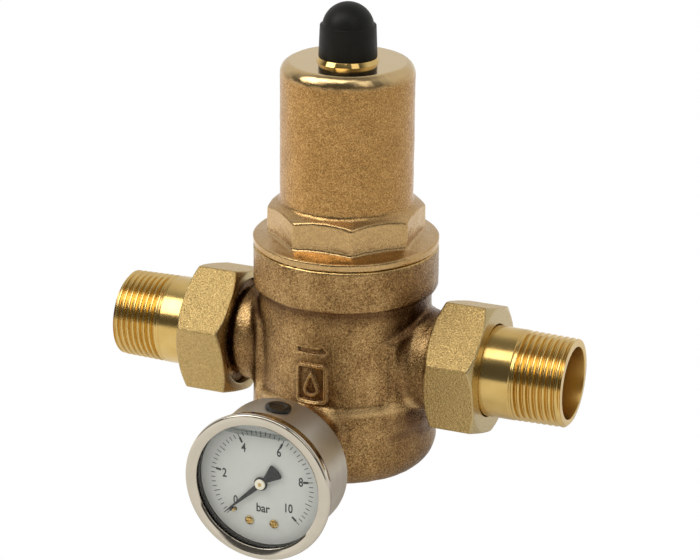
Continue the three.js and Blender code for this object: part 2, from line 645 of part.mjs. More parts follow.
assembly.add(
  piece('valve_body', valveBody(), FINISH.castBody),
  piece('bonnet', bonnet(), FINISH.castBonnet),
  piece('slip_ring', ring(24.2, 28.6, 71.6, 72.6, MID_SIDES), FINISH.whitePlastic),
  piece('diaphragm', diaphragm(), FINISH.rubber),
  piece('lower_diaphragm_plate', lowerDiaphragmPlate(), FINISH.turnedBrass),
  piece('lower_spring_plate', lowerSpringPlate(), FINISH.steel),
  piece('plate_nut', hexNut(8, 3.3, 77.3, 81), FINISH.steel),
  piece('valve_stem', valveStem(), FINISH.steel),
  piece('balance_piston', balancePiston(), FINISH.turnedBrass),
  piece('piston_o_ring', oRing(9.4, 54.5, 1.1), FINISH.rubber),
  piece('disc_holder', discHolder(), FINISH.turnedBrass),
  piece('valve_disc', valveDisc(), FINISH.rubber),
  piece('disc_nut', hexNut(8, 2.8, 13.6, 17.1), FINISH.steel),
  piece('seat_cartridge', seatCartridge(), FINISH.turnedBrass),
  piece('cartridge_lower_o_ring', oRing(13.4, 27.9, 1.1), FINISH.rubber),
  piece('cartridge_upper_o_ring', oRing(19.35, 58.1, 1.1), FINISH.rubber),
  piece('strainer', strainer(), FINISH.steel),
  piece('main_spring', mainSpring(), FINISH.spring),
  piece('upper_spring_plate', upperSpringPlate(), FINISH.steel),
  piece('spindle_bush', spindleBush(), FINISH.turnedBrass),
  piece('adjusting_spindle', adjustingSpindle(), FINISH.steel),
  piece('lock_nut', lockNut(), FINISH.steel),
  piece('protective_cap', cap(), FINISH.blackPlastic),
  union('inlet'),
  union('outlet'),
  rearPort,
  gauge(),
);

export default valve;
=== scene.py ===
"""Pressure reducing valve with union ends and a pressure gauge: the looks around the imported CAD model."""

import json
import math

import bmesh
import bpy
import numpy as np
from mathutils import Matrix, Vector


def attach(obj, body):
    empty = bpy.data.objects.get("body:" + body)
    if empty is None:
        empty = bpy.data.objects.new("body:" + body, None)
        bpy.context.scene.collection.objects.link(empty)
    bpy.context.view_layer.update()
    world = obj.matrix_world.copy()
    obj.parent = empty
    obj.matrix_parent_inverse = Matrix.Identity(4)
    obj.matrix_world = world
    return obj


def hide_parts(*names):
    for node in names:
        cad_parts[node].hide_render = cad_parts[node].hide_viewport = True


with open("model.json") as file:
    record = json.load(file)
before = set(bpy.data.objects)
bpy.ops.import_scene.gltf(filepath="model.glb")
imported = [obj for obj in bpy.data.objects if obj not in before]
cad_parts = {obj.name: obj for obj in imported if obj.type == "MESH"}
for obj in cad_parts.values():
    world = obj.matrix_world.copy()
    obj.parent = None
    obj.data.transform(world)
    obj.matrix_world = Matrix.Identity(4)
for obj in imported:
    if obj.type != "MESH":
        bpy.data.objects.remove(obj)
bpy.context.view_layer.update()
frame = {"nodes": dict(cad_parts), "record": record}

MM = 0.001
FOOT = 4.1  # how far the foot lies below the level that all heights count from, in mm like every length here
PIPE_Z = 40.0
GAUGE_X, GAUGE_Z, GAUGE_ROLL = 0.2, 16.7, 1.25  # centre of the dial, and the gauge's turn in degrees
INLET_TURN, OUTLET_TURN = 15.5, 18.1  # degrees from the front to each nut's first corner


# ---- Placing: local shapes are drawn about their own Z axis ----
def axes(x, y, z, origin=(0, 0, 0)):
    """Matrix that takes local X, Y and Z to these directions."""
    return Matrix([*zip(x, y, z, origin), (0, 0, 0, 1)])


def turned(place, degrees):
    return place @ Matrix.Rotation(math.radians(degrees), 4, "Z")


UPRIGHT = Matrix.Translation((0, 0, FOOT))
OUTLET = axes((0, 0, -1), (0, 1, 0), (1, 0, 0), (0, 0, PIPE_Z + FOOT))
INLET = axes((0, 0, 1), (0, 1, 0), (-1, 0, 0), (0, 0, PIPE_Z + FOOT))
REAR = axes((1, 0, 0), (0, 0, -1), (0, 1, 0), (0, 0, GAUGE_Z + FOOT))
GAUGE = turned(axes((1, 0, 0), (0, 0, 1), (0, -1, 0), (GAUGE_X, 0, GAUGE_Z + FOOT)), GAUGE_ROLL)


# ---- Meshes ----
def new_object(name, mesh):
    obj = bpy.data.objects.new(name, mesh)
    bpy.context.scene.collection.objects.link(obj)
    return obj


def from_arrays(name, points, quads, place=UPRIGHT):
    """Mesh object from points in mm and rows of four point numbers."""
    mesh = bpy.data.meshes.new(name)
    mesh.vertices.add(len(points))
    mesh.vertices.foreach_set("co", np.asarray(points, np.float32).ravel())
    mesh.loops.add(quads.size)
    mesh.loops.foreach_set("vertex_index", quads.astype(np.int32).ravel())
    mesh.polygons.add(len(quads))
    mesh.polygons.foreach_set("loop_start", np.arange(0, quads.size, 4, dtype=np.int32))
    mesh.update(calc_edges=True)
    mesh.transform(Matrix.Scale(MM, 4) @ place)
    return new_object(name, mesh)


def shade(obj, sharp=32):
    """Smooth shading with the edges sharper than this many degrees kept."""
    obj.data.shade_smooth()
    obj.data.set_sharp_from_angle(angle=math.radians(sharp))
    return obj


def weld(obj, distance=1e-7):
    bm = bmesh.new()
    bm.from_mesh(obj.data)
    bmesh.ops.remove_doubles(bm, verts=bm.verts, dist=distance)
    bmesh.ops.dissolve_degenerate(bm, edges=bm.edges, dist=distance)
    bmesh.ops.recalc_face_normals(bm, faces=bm.faces)
    bm.to_mesh(obj.data)
    bm.free()
    return obj


def rounded(profile, steps=5):
    """Closed outline with each (r, h, fillet) corner replaced by an arc."""
    out = []
    for i, corner in enumerate(profile):
        here = np.array(corner[:2], float)
        size = corner[2] if len(corner) > 2 else 0
        if not size:
            out.append(here)
            continue
        before = np.array(profile[i - 1][:2], float) - here
        after = np.array(profile[(i + 1) % len(profile)][:2], float) - here
        u, v = before / np.linalg.norm(before), after / np.linalg.norm(after)
        half = math.acos(np.clip(u @ v, -1, 1)) / 2
        reach = min(size / math.tan(half), 0.49 * np.linalg.norm(before), 0.49 * np.linalg.norm(after))
        radius = reach * math.tan(half)
        middle = here + (u + v) / np.linalg.norm(u + v) * (radius / math.sin(half))
        first, last = here + u * reach - middle, here + v * reach - middle
        sweep = math.atan2(first[0] * last[1] - first[1] * last[0], first @ last)
        for k in range(steps + 1):
            a = sweep * k / steps
            turn = np.array([[math.cos(a), -math.sin(a)], [math.sin(a), math.cos(a)]])
            out.append(middle + turn @ first)
    return np.array(out)


def lathe(name, profile, place=UPRIGHT, sides=128, steps=5, sharp=32):
    """A closed outline of (radius, height, fillet) turned about the local Z axis."""
    outline = rounded(profile, steps)
    count = len(outline)
    angle = np.linspace(0, 2 * math.pi, sides, endpoint=False)
    r, h = outline[:, 0], outline[:, 1]
    points = np.stack([
        np.outer(np.cos(angle), r), np.outer(np.sin(angle), r), np.broadcast_to(h, (sides, count))], axis=-1)
    return shade(weld(from_arrays(name, points.reshape(-1, 3), ring_quads(sides, count), place)), sharp)


def ring_quads(sides, count, closed=True):
    i, j = np.meshgrid(np.arange(sides), np.arange(count if closed else count - 1), indexing="ij")
    a, b = i * count + j, i * count + (j + 1) % count
    shift = ((i + 1) % sides - i) * count
    return np.stack([a, a + shift, b + shift, b], axis=-1).reshape(-1, 4)


def joined(name, *objects):
    """One mesh out of several."""
    bm = bmesh.new()
    for obj in objects:
        bm.from_mesh(obj.data)
        bpy.data.objects.remove(obj)
    mesh = bpy.data.meshes.new(name)
    bm.to_mesh(mesh)
    bm.free()
    return new_object(name, mesh)


def prism(name, outline, low, high, place=UPRIGHT, bevel=0.0):
    """A flat outline of (x, y) points between two heights, with its edges rounded."""
    bm = bmesh.new()
    foot = bm.faces.new([bm.verts.new((x, y, low)) for x, y in outline])
    top = bmesh.ops.extrude_face_region(bm, geom=[foot])["geom"]
    moved = [v for v in top if isinstance(v, bmesh.types.BMVert)]
    bmesh.ops.translate(bm, vec=(0, 0, high - low), verts=moved)
    bmesh.ops.recalc_face_normals(bm, faces=bm.faces)
    if bevel:
        bmesh.ops.bevel(bm, geom=list(bm.edges), offset=bevel, segments=3, profile=0.5, affect="EDGES")
    mesh = bpy.data.meshes.new(name)
    bm.to_mesh(mesh)
    bm.free()
    mesh.transform(Matrix.Scale(MM, 4) @ place)
    return shade(new_object(name, mesh), 35)


# ---- Solids given by their distance, for the castings and forgings ----
def smin(a, b, k):
    h = np.clip(0.5 + 0.5 * (b - a) / k, 0, 1)
    return b * (1 - h) + a * h - k * h * (1 - h)


def smax(a, b, k):
    return -smin(-a, -b, k)


def drum(radial, along, r, low, high, edge=0.0):
    """Distance to a cylinder with rounded edges, from the distance off its axis and the place along it."""
    return rounded_join(radial - r, np.abs(along - (low + high) / 2) - (high - low) / 2, edge)


def rounded_join(a, b, edge):
    """What lies inside both distances, with the edge where they meet rounded to this radius."""
    u, v = a + edge, b + edge
    return np.hypot(np.maximum(u, 0), np.maximum(v, 0)) + np.minimum(np.maximum(u, v), 0) - edge


def wobble(p, seed, size, amount, waves=14):
    """Soft random unevenness, as a casting has."""
    rng = np.random.default_rng(seed)
    total = np.zeros(len(p))
    for _ in range(waves):
        direction = rng.normal(size=3)
        direction *= 2 * math.pi / (size * rng.uniform(0.7, 1.5) * np.linalg.norm(direction))
        total += np.sin(p @ direction + rng.uniform(0, 2 * math.pi))
    return amount * total / math.sqrt(waves)


def sampled(shape, low, high, step, block=8):
    """The distance on a grid of points, worked out only in the blocks near the surface."""
    low, high = np.array(low, float), np.array(high, float)
    blocks = np.ceil((high - low) / (step * block)).astype(int)
    index = np.stack(np.meshgrid(*[np.arange(n) for n in blocks], indexing="ij"), -1).reshape(-1, 3)
    middle = shape(low + (index * block + (block - 1) / 2) * step)
    near = np.abs(middle) < 1.25 * step * block
    full = np.repeat(np.repeat(np.repeat(middle.reshape(blocks), block, 0), block, 1), block, 2)
    cell = np.stack(np.meshgrid(*[np.arange(block)] * 3, indexing="ij"), -1).reshape(-1, 3)
    grid = (index[near][:, None, :] * block + cell[None]).reshape(-1, 3)
    full[grid[:, 0], grid[:, 1], grid[:, 2]] = shape(low + grid * step)
    return full, low


def net(shape, low, high, step):
    """Points and quads of the surface where the distance is nought."""
    value, low = sampled(shape, low, high, step)
    inside = value < 0
    corner = np.argwhere(np.ones((2, 2, 2)))
    n = np.array(value.shape)
    held = sum(inside[tuple(slice(c[a], n[a] - 1 + c[a]) for a in range(3))].astype(np.int8) for c in corner)
    cells = np.argwhere((held > 0) & (held < 8))
    at = [value[tuple((cells + c).T)] for c in corner]
    total, hits = np.zeros((len(cells), 3)), np.zeros(len(cells))
    for a in range(8):
        for b in range(a + 1, 8):
            if np.abs(corner[a] - corner[b]).sum() != 1:
                continue
            crossed = (at[a] < 0) != (at[b] < 0)
            share = np.where(crossed, at[a] / np.where(crossed, at[a] - at[b], 1), 0)[:, None]
            total += np.where(crossed[:, None], corner[a] + share * (corner[b] - corner[a]), 0)
            hits += crossed
    points = low + (cells + total / hits[:, None]) * step
    number = np.full(value.shape, -1)
    number[tuple(cells.T)] = np.arange(len(cells))
    quads = []
    for axis in range(3):
        before = [slice(1, None)] * 3
        before[axis] = slice(None, -1)
        here, beyond = inside[tuple(before)], inside[1:, 1:, 1:]
        u, v = (np.eye(3, dtype=int)[(axis + n) % 3] for n in (1, 2))
        for found, flip in ((here & ~beyond, 1), (~here & beyond, -1)):
            edge = np.argwhere(found) + u + v
            four = [number[tuple((edge - back).T)] for back in (u + v, v, 0 * u, u)]
            quads.append(np.stack(four[::flip], -1))
    return points, np.concatenate(quads)


def slope(shape, points, value, reach=0.02):
    return np.stack([(shape(points + reach * e) - value) / reach for e in np.eye(3)], axis=1)


def settled(shape, points, most, rounds=3):
    """Points moved onto the surface, each by at most so much a round."""
    for _ in range(rounds):
        value = shape(points)
        normal = slope(shape, points, value)
        move = normal * (value / np.maximum((normal ** 2).sum(1), 0.3))[:, None]
        size = np.linalg.norm(move, axis=1, keepdims=True)
        points = points - move * np.minimum(1, most / np.maximum(size, 1e-9))
    return points


def painted_shade(shape, points, normal, reaches=(1.5, 4, 9)):
    """How far each point lies in a hollow, from 0 in the open to 1: how much painted shade it gets."""
    free = [np.clip(shape(points + normal * h) / h, 0, 1) for h in reaches]
    return 1 - sum(free) / len(free)


def paint(obj, name, values):
    layer = obj.data.attributes.new(name, "FLOAT", "POINT")
    layer.data.foreach_set("value", np.asarray(values, np.float32))


def grown(name, shape, low, high, step, place=UPRIGHT, finer=None, machined=None, painted_light=None):
    """A mesh object of the solid, with its hollows and any given painted light marked as painted shade, its
    edges marked lighter for wear and painted highlight, and its machined places marked for its material.
    """
    points, quads = net(shape, low, high, step)
    points = settled(shape, points, step / 2)
    obj = from_arrays(name, points, quads, Matrix.Identity(4))
    if finer:
        split_where(obj, finer)
        flat = np.empty(len(obj.data.vertices) * 3, np.float32)
        obj.data.vertices.foreach_get("co", flat)
        points = flat.reshape(-1, 3).astype(float) / MM
        near = finer(points)
        points[near] = settled(shape, points[near], step / 2)
        obj.data.vertices.foreach_set("co", (points * MM).astype(np.float32).ravel())
        obj.data.update()
    value = shape(points)
    normal = slope(shape, points, value)
    normal /= np.maximum(np.linalg.norm(normal, axis=1, keepdims=True), 1e-6)
    painted_shading = painted_light(points) if painted_light else np.zeros(len(points))
    # Painted shade: deep in hollows, plus the painted shade given for the part
    paint(obj, "painted_shade", np.clip(painted_shade(shape, points, normal) + painted_shading, 0, 1))
    # Convex edges for lighter wear, plus painted highlights where the painted light is below 0
    paint(obj, "edge", np.clip(1 + shape(points - normal * 0.9) / 0.9 - np.minimum(painted_shading, 0), 0, 1))
    if machined:
        paint(obj, "machined", machined(points, normal))
    obj.data.transform(Matrix.Translation(place.translation * MM) @ place.to_3x3().to_4x4())
    obj.data.shade_smooth()
    return obj


def split_where(obj, wanted, cuts=2):
    """Divides the faces whose middle lies where it is wanted."""
    bm = bmesh.new()
    bm.from_mesh(obj.data)
    middle = np.array([f.calc_center_median() for f in bm.faces]) / MM
    edges = {e for f, yes in zip(bm.faces, wanted(middle)) if yes for e in f.edges}
    bmesh.ops.subdivide_edges(bm, edges=list(edges), cuts=cuts, use_grid_fill=True)
    bm.to_mesh(obj.data)
    bm.free()


# ---- Valve body ----
BARREL_R, RING_R, RING_LOW, RING_TOP = 31.9, 34, 65.5, 81.3
SHOULDER_Z = 28.5  # where the cup's sloped shoulder would meet the barrel
NECK_END, COLLAR_FROM, COLLAR_END = 39.2, 42.0, 45.0  # along the ports
THREAD_R, BORE_R = 19.8, 13.2
BOSS_R, BOSS_FACE = 11.5, 41.0
# (radius, from, to) of the turned steps inside.
BODY_STEPS = ((14.3, 20, 33), (19, 31, 50), (16.4, 45, 58), (20.3, 56, 61), (24, 60, 70), (29.3, 69, 90))


def off_gauge_port(p):
    """Distance from the axis of the gauge port in front, or of the one on the back."""
    x, y, z = p.T
    return np.hypot(x - np.where(y < 0, GAUGE_X, 0), z - GAUGE_Z)


def body_outside(p):
    x, y, z = p.T
    radial, off_pipe = np.hypot(x, y), np.hypot(y, z - PIPE_Z)
    cup_side = radial - 34.4 + 0.075 * np.clip(z - 7, 0, 20)
    shoulder = (z - SHOULDER_Z + radial - BARREL_R) * 0.7071
    cup = smax(rounded_join(cup_side, -z - FOOT, 11), shoulder, 0.7)
    barrel = drum(radial, z, BARREL_R, 4, 76)
    ring = drum(radial, z, RING_R, RING_LOW, 84, 1.1)
    column = smin(smin(cup, barrel, 0.9), ring, 0.7)
    arch = smax(np.abs(y) - 20.7, z - 57.6 + y ** 2 / 85, 1.6)
    flank = smax(smax(arch, radial - 34.1, 1.3), np.abs(z - PIPE_Z) - 24, 3.0)
    neck = drum(np.hypot(y, z - PIPE_Z - 0.6), np.abs(x), 18.1, 0, NECK_END, 2.4)
    groove = drum(off_pipe, np.abs(x), 16.0, 0, 44)
    collar = drum(off_pipe, np.abs(x), THREAD_R, COLLAR_FROM, 50, 0.5)
    port = smin(smin(neck, groove, 1.5), collar, 0.5)
    side = smin(flank, port, 2.6)
    whole = smin(column, side, 1.8)
    return smin(whole, drum(off_gauge_port(p), np.abs(y), BOSS_R, 20, 44, 0.8), 3.0)


ARROW_Z, ARROW_HEAD_X, ARROW_DEPTH = 49.75, 3.6, 0.9
BADGE_Z, BADGE_HEIGHT = 37.3, 1.0
DROP_Z, DROP_TOP, DROP_R = 35.2, 41.4, 2.5


def arrow_depth(x, z):
    """Distance in the front plane to the flow arrow: a bar with a point at its right end."""
    off, along = np.abs(z - ARROW_Z), x - ARROW_HEAD_X
    bar = np.maximum(np.abs(x + 0.7) - 4.7, off - 0.85)
    head = np.maximum(-along, off - (1.9 - 0.95 * along))
    return np.minimum(bar, head * 0.75)


def box2(x, z, half_x, half_z, corner):
    u, v = np.abs(x) - half_x + corner, np.abs(z) - half_z + corner
    return np.hypot(np.maximum(u, 0), np.maximum(v, 0)) + np.minimum(np.maximum(u, v), 0) - corner


def badge_line(x, z):
    """Distance to the raised lines of the badge: a rounded frame round a water drop."""
    frame_line = np.abs(box2(x, z - BADGE_Z, 5.4, 7.0, 1.2)) - 0.62
    t = np.clip((z - DROP_Z) / (DROP_TOP - DROP_Z), 0, 1)
    drop = np.where(z < DROP_Z, np.hypot(x, z - DROP_Z) - DROP_R, np.abs(x) - DROP_R * (1 - t) ** 0.8)
    drop = np.where(z > DROP_TOP, np.hypot(x, z - DROP_TOP), drop * np.where(z < DROP_Z, 1, 0.85))
    return np.minimum(frame_line, np.abs(drop) - 0.5)


def body_marks(p, solid):
    x, y, z = p.T
    front = y < -20
    raised = smax(badge_line(x, z), solid - BADGE_HEIGHT, 0.3)
    marked = np.where(front, smin(solid, raised, 0.45), solid)
    sunk = smax(arrow_depth(x, z), -(solid + ARROW_DEPTH), 0.2)
    return np.where(front, smax(marked, -sunk, 0.35), marked)


def body_inside(p):
    x, y, z = p.T
    radial, off_pipe = np.hypot(x, y), np.hypot(y, z - PIPE_Z)
    hollow = drum(radial, z, 28, 6, 23.8, 2)
    for r, low, high in BODY_STEPS:
        hollow = np.minimum(hollow, drum(radial, z, r, low, high))
    bores = np.minimum(drum(off_pipe, -x, BORE_R, 15, 50), drum(off_pipe, x, BORE_R, 22.5, 50))
    passage = np.maximum(np.maximum(np.abs(x - 25.75) - 3.25, np.abs(y) - 8.5), np.abs(z - 29) - 11)
    off_gauge = off_gauge_port(p)
    ports = np.minimum(drum(off_gauge, np.abs(y), 4, 20, 50), drum(off_gauge, np.abs(y), 6.9, 31, 50))
    return np.minimum(np.minimum(hollow, bores), np.minimum(passage, ports))


def body_shape(p):
    x, y, z = p.T
    rough = body_outside(p) + wobble(p, 3, 13, 0.10) + wobble(p, 4, 3.4, 0.035)
    cast = body_marks(p, rough)
    faced = smax(smax(cast, z - RING_TOP, 0.3), np.abs(x) - COLLAR_END, 0.3)
    faced = smax(np.maximum(faced, -z - FOOT), np.abs(y) - BOSS_FACE, 0.3)
    return smax(faced, -body_inside(p), 0.3)


def body_machined(p, normal):
    x, y, z = p.T
    ends = (np.abs(x) > COLLAR_END - 0.25) | (np.abs(y) > BOSS_FACE - 0.25) | (z > RING_TOP - 0.25)
    return (ends | (body_inside(p) < 0.3)).astype(float)


def badge_zone(p):
    x, y, z = p.T
    return (np.abs(x) < 7.6) & (z > 28.6) & (z < 52.4) & (y < -26)


def spread(value, middle, width):
    return np.exp(-((value - middle) / width) ** 2)


def body_painted_light(p):
    """Painted shade under the top ring, in the port recesses and the groove by each nut and on the outlet's
    side, and a darker badge panel; below 0 for painted highlights on the cup's shoulder and the necks' tops.
    """
    x, y, z = p.T
    radial, off_pipe, out = np.hypot(x, y), np.hypot(y, z - PIPE_Z), np.abs(x)
    # Painted shadow under the top ring
    under_ring_shade = 0.42 * spread(z, RING_LOW, 5) * ((z < 65.6) & (radial < 33.6))
    # Painted shade in the recesses round the port necks, stronger higher up
    recess_shade = 0.2 * spread(off_pipe, 19, 9) * np.clip((out - 21) / 6, 0, 1)
    # Painted shade in the groove next to each nut
    deep = 0.12 * np.clip((out - 37) / 2, 0, 1) * (out < 42.5)
    ports = np.maximum(recess_shade, deep) * (1 + 0.5 * np.clip((z - 50) / 8, 0, 1))
    panel = 0.16 * (y < -20) * (box2(x, z - BADGE_Z, 5, 6.6, 1) < 0) * (badge_line(x, z) > 0.3)
    # Painted shade on the outlet's side, above the ring's foot and below the cup's top
    outlet_side_shade = 0.26 * np.clip((x - 21) / 8, 0, 1) * ((z > 62) | (z < 25)) * (radial < 36)
    # Painted highlight on the cup's sloped shoulder, at the front
    shoulder = 1.1 * spread(z, 27.3, 2.6) * (radial > 32.3) * (y < 0)
    # Painted highlight on the front tops of the port necks
    neck_top_highlight = 0.9 * spread(z, 52, 5) * (out > 32) * (out < 38.6) * (y < 0)
    return under_ring_shade + panel + outlet_side_shade + ports - np.maximum(shoulder, neck_top_highlight)


valve_body = grown("valve_body_casting", body_shape, (-47, -43, -6), (47, 43, 83), 0.82,
                   finer=badge_zone, machined=body_machined, painted_light=body_painted_light)


# ---- Bonnet ----
BONNET_TOP = 150.1
RIM_LOW, RIM_TOP = 81.6, 84.6
WALL_R, SPRING_R, BUSH_R = 24.3, 19.3, 8.3
OCTAGON_TURN, OCTAGON_FLATS = 26, 53.8


def octagon(x, y, turn, flats):
    """Distance to an upright eight-sided prism, its first corner so many degrees from the front."""
    reach = flats / 2
    total = None
    for i in range(8):
        a = math.radians(turn - 90 + 22.5 + 45 * i)
        side = x * math.cos(a) + y * math.sin(a) - reach
        total = side if total is None else smax(total, side, 0.6)
    return total


def bonnet_shape(p):
    x, y, z = p.T
    radial = np.hypot(x, y)
    rim = drum(radial, z, RING_R, RIM_LOW, RIM_TOP, 0.55)
    cone = np.maximum((z - 84.4) * 0.966 + (radial - 33.2) * 0.2588, 80 - z)
    octo = smax(octagon(x, y, OCTAGON_TURN, OCTAGON_FLATS), (z - 95.7) * 0.866 + (radial - 28.6) * 0.5, 0.45)
    octo = smax(octo, 84 - z, 0.1)
    wall = drum(radial, z, WALL_R, 80, BONNET_TOP + 0.42, 5)
    cast = smin(smin(smin(rim, cone, 0.5), octo, 0.9), wall, 1.1)
    cast = cast + wobble(p, 7, 12, 0.07) + wobble(p, 8, 3.0, 0.03)
    cast = np.where(z < 84, np.maximum(cast, rim - 0.02), cast)
    spigot = drum(radial, z, 29, 72.9, 84, 0.6)
    solid = smax(np.minimum(np.maximum(cast, RIM_LOW - z), spigot), z - BONNET_TOP, 0.12)
    mouth = smax(radial - 22, z - 87, 1.5)
    spring = drum(radial, z, SPRING_R, 60, 138, 1.5)
    bush = drum(radial, z, BUSH_R, 130, 160)
    return smax(solid, -np.minimum(np.minimum(mouth, spring), bush), 0.3)


def bonnet_machined(p, normal):
    x, y, z = p.T
    radial = np.hypot(x, y)
    top = z > BONNET_TOP - 0.06
    inner = radial < np.where(z < 87, 22.3, SPRING_R + 0.3)
    # More of the machined colour towards the foot, lighter there, and on the top fillet as a painted
    # highlight
    lighter_foot_and_top_highlight = 0.36 * np.clip((100 - z) / 4, 0, 1) + 0.75 * np.clip((z - 145) / 3, 0, 1)
    return np.where(top | inner | (z < 81.8), 1.0, lighter_foot_and_top_highlight)


bonnet = grown("bonnet_casting", bonnet_shape, (-35, -35, 72), (35, 35, 152), 0.62, machined=bonnet_machined)


# ---- Unions ----
NUT_FROM, NUT_TO, NUT_FLATS = 39.6, 58.6, 46.0
FACE_R = 23.2
NUT_SHOULDER, NUT_HOLE_R = 51.9, 17.1


def nut_shape(p):
    x, y, z = p.T
    radial = np.hypot(x, y)
    solid = None
    for i in range(3):
        a = math.radians(30 + 60 * i)
        side = np.abs(x * math.cos(a) + y * math.sin(a)) - NUT_FLATS / 2
        solid = side if solid is None else smax(solid, side, 0.7)
    for depth in (z - NUT_FROM, NUT_TO - z):
        chamfer = (radial - FACE_R) * 0.5 - depth * 0.866
        solid = smax(solid, chamfer, 0.35)
        solid = smax(solid, -depth, 0.35)
    thread = drum(radial, z, THREAD_R + 0.3, 30, NUT_SHOULDER, 0.1)
    return smax(solid, -np.minimum(thread, drum(radial, z, NUT_HOLE_R, 50, 70, 0.1)), 0.5)


def nut_machined(p, normal):
    radial = np.hypot(p[:, 0], p[:, 1])
    return ((np.abs(normal[:, 2]) > 0.4) | (radial < FACE_R - 0.3)).astype(float)


def union_nut(name, place, turn):
    return grown(name, nut_shape, (-28, -28, 38), (28, 28, 60), 0.42,
                 turned(place, turn - 90), machined=nut_machined)


THREAD_PITCH, THREAD_FROM, TAIL_END = 2.309, 70.0, 89.0
CREST_R, ROOT_R, END_R = 16.62, 15.25, 15.9
TAIL_BORE_R, SHANK_R, FLANGE_R, FLANGE_LOW, FLANGE_TOP = 13.3, 16.7, 19.8, 47.4, 51.6


def thread_radius(z, turn):
    """Radius of the male pipe thread at a place along the pipe and round it."""
    phase = (z / THREAD_PITCH - turn) % 1
    wave = 2 * np.abs(2 * phase - 1) - 1
    wave = np.clip(wave * 1.25 + 0.15, -1, 1)
    wave = wave * (1.5 - 0.5 * wave ** 2)
    fade_in = np.clip((z - THREAD_FROM) / 1.6, 0, 1)
    fade_out = np.clip((TAIL_END - 0.2 - z) / 1.5, 0, 1)
    crest = CREST_R - 0.02 * (z - THREAD_FROM)
    root = ROOT_R + (crest - 0.1 - ROOT_R) * (1 - fade_in)
    full = root + (crest - root) * (wave + 1) / 2
    end = END_R + (TAIL_END - z) * 0.6
    return np.where(fade_out < 1, np.minimum(full, end), full)


def tailpiece(name, place):
    """Plain outline up to the thread, and the thread as a helix. Bore and thread roots are marked "inside"
    for painted shade.
    """
    sides = 208
    fixed = rounded([
        (TAIL_BORE_R, TAIL_END, 0.25), (TAIL_BORE_R, FLANGE_LOW, 0.3), (FLANGE_R, FLANGE_LOW, 0.4),
        (FLANGE_R, FLANGE_TOP, 0.3), (SHANK_R, FLANGE_TOP, 0.25), (SHANK_R, 69.3, 0.15), (16.35, 69.6, 0.1),
        (END_R, TAIL_END)], 3)[:-1]
    threaded = np.linspace(69.9, 88.85, 150)
    count = len(fixed) + len(threaded)
    angle = np.linspace(0, 2 * math.pi, sides, endpoint=False)
    z = np.broadcast_to(np.concatenate([fixed[:, 1], threaded]), (sides, count))
    turned = thread_radius(threaded[None, :], angle[:, None] / (2 * math.pi))
    r = np.concatenate([np.broadcast_to(fixed[:, 0], (sides, len(fixed))), turned], axis=1)
    points = np.stack([r * np.cos(angle)[:, None], r * np.sin(angle)[:, None], z], axis=-1).reshape(-1, 3)
    obj = shade(weld(from_arrays(name, points, ring_quads(sides, count), place)), 50)
    x, y, z = np.array([v.co for v in obj.data.vertices]).T / MM
    radial = np.hypot(y, z - PIPE_Z - FOOT)
    # Painted shade in the thread roots, and fully in the bore
    root = 0.55 * np.clip((15.95 - radial) / 0.5, 0, 1) * (np.abs(x) > THREAD_FROM) * (np.abs(x) < 88)
    paint(obj, "inside", np.where(radial < TAIL_BORE_R + 0.1, 1, root))
    return obj


def gasket(name, place):
    return lathe(name, [(13.6, 45.3, 0.2), (19.7, 45.3, 0.2), (19.7, 47.1, 0.2), (13.6, 47.1, 0.2)], place)


inlet_nut = union_nut("inlet_nut_forging", INLET, INLET_TURN)
outlet_nut = union_nut("outlet_nut_forging", OUTLET, -OUTLET_TURN)
inlet_tail = tailpiece("inlet_tail_turned", INLET)
outlet_tail = tailpiece("outlet_tail_turned", OUTLET)
inlet_gasket = gasket("inlet_gasket_ring", INLET)
outlet_gasket = gasket("outlet_gasket_ring", OUTLET)


# ---- Bush, spindle, lock nut and cap ----
def dome(r, base, crown, steps=14):
    return [(r * math.cos(a), base + (crown - base) * math.sin(a))
            for a in np.linspace(0, math.pi / 2, steps, endpoint=False)]


bush = lathe("spindle_bush_turned", [
    (4.3, 137.5, 0.2), (8, 137.5, 0.3), (8, 150.1), (11.45, 150.1), (10.6, 151.7, 0.15), (7.8, 151.7, 0.1),
    (7.8, 154.9, 0.3), (4.3, 154.9, 0.3)])
cap = lathe("protective_cap_moulded", [
    (10.58, 151.8, 0.25), (10.12, 163.3, 0.3), (9.3, 163.5, 0.15), *dome(9.4, 162.1, 171.5)[2:], (0, 171.5),
    (0, 170.2), *dome(8.1, 162.1, 170.2)[:0:-1], (9.2, 151.8, 0.2)], sides=96)


def hexagon(flats):
    r = flats / math.sqrt(3)
    return [(r * math.cos(math.radians(a)), r * math.sin(math.radians(a))) for a in range(0, 360, 60)]


def cut_by(obj, tool):
    """Takes the tool out of the object and removes the tool."""
    step = obj.modifiers.new("cut", "BOOLEAN")
    step.object, step.operation, step.solver = tool, "DIFFERENCE", "EXACT"
    graph = bpy.context.evaluated_depsgraph_get()
    mesh = bpy.data.meshes.new_from_object(obj.evaluated_get(graph))
    obj.modifiers.clear()
    old, obj.data = obj.data, mesh
    mesh.name = old.name
    bpy.data.objects.remove(tool)
    return shade(obj, 35)


spindle = cut_by(
    lathe("adjusting_spindle_turned", [
        (0, 127.2), (2.6, 127.2), (4, 128.6), (4, 162.7), (3.2, 163.5), (0, 163.5)], sides=64),
    prism("spindle_socket", hexagon(4), 158.5, 165))
lock_nut = cut_by(
    prism("lock_nut_hexagon", hexagon(13), 155.2, 159.2, bevel=0.35),
    lathe("lock_nut_bore", [(0, 150), (4.3, 150), (4.3, 165), (0, 165)], sides=64))


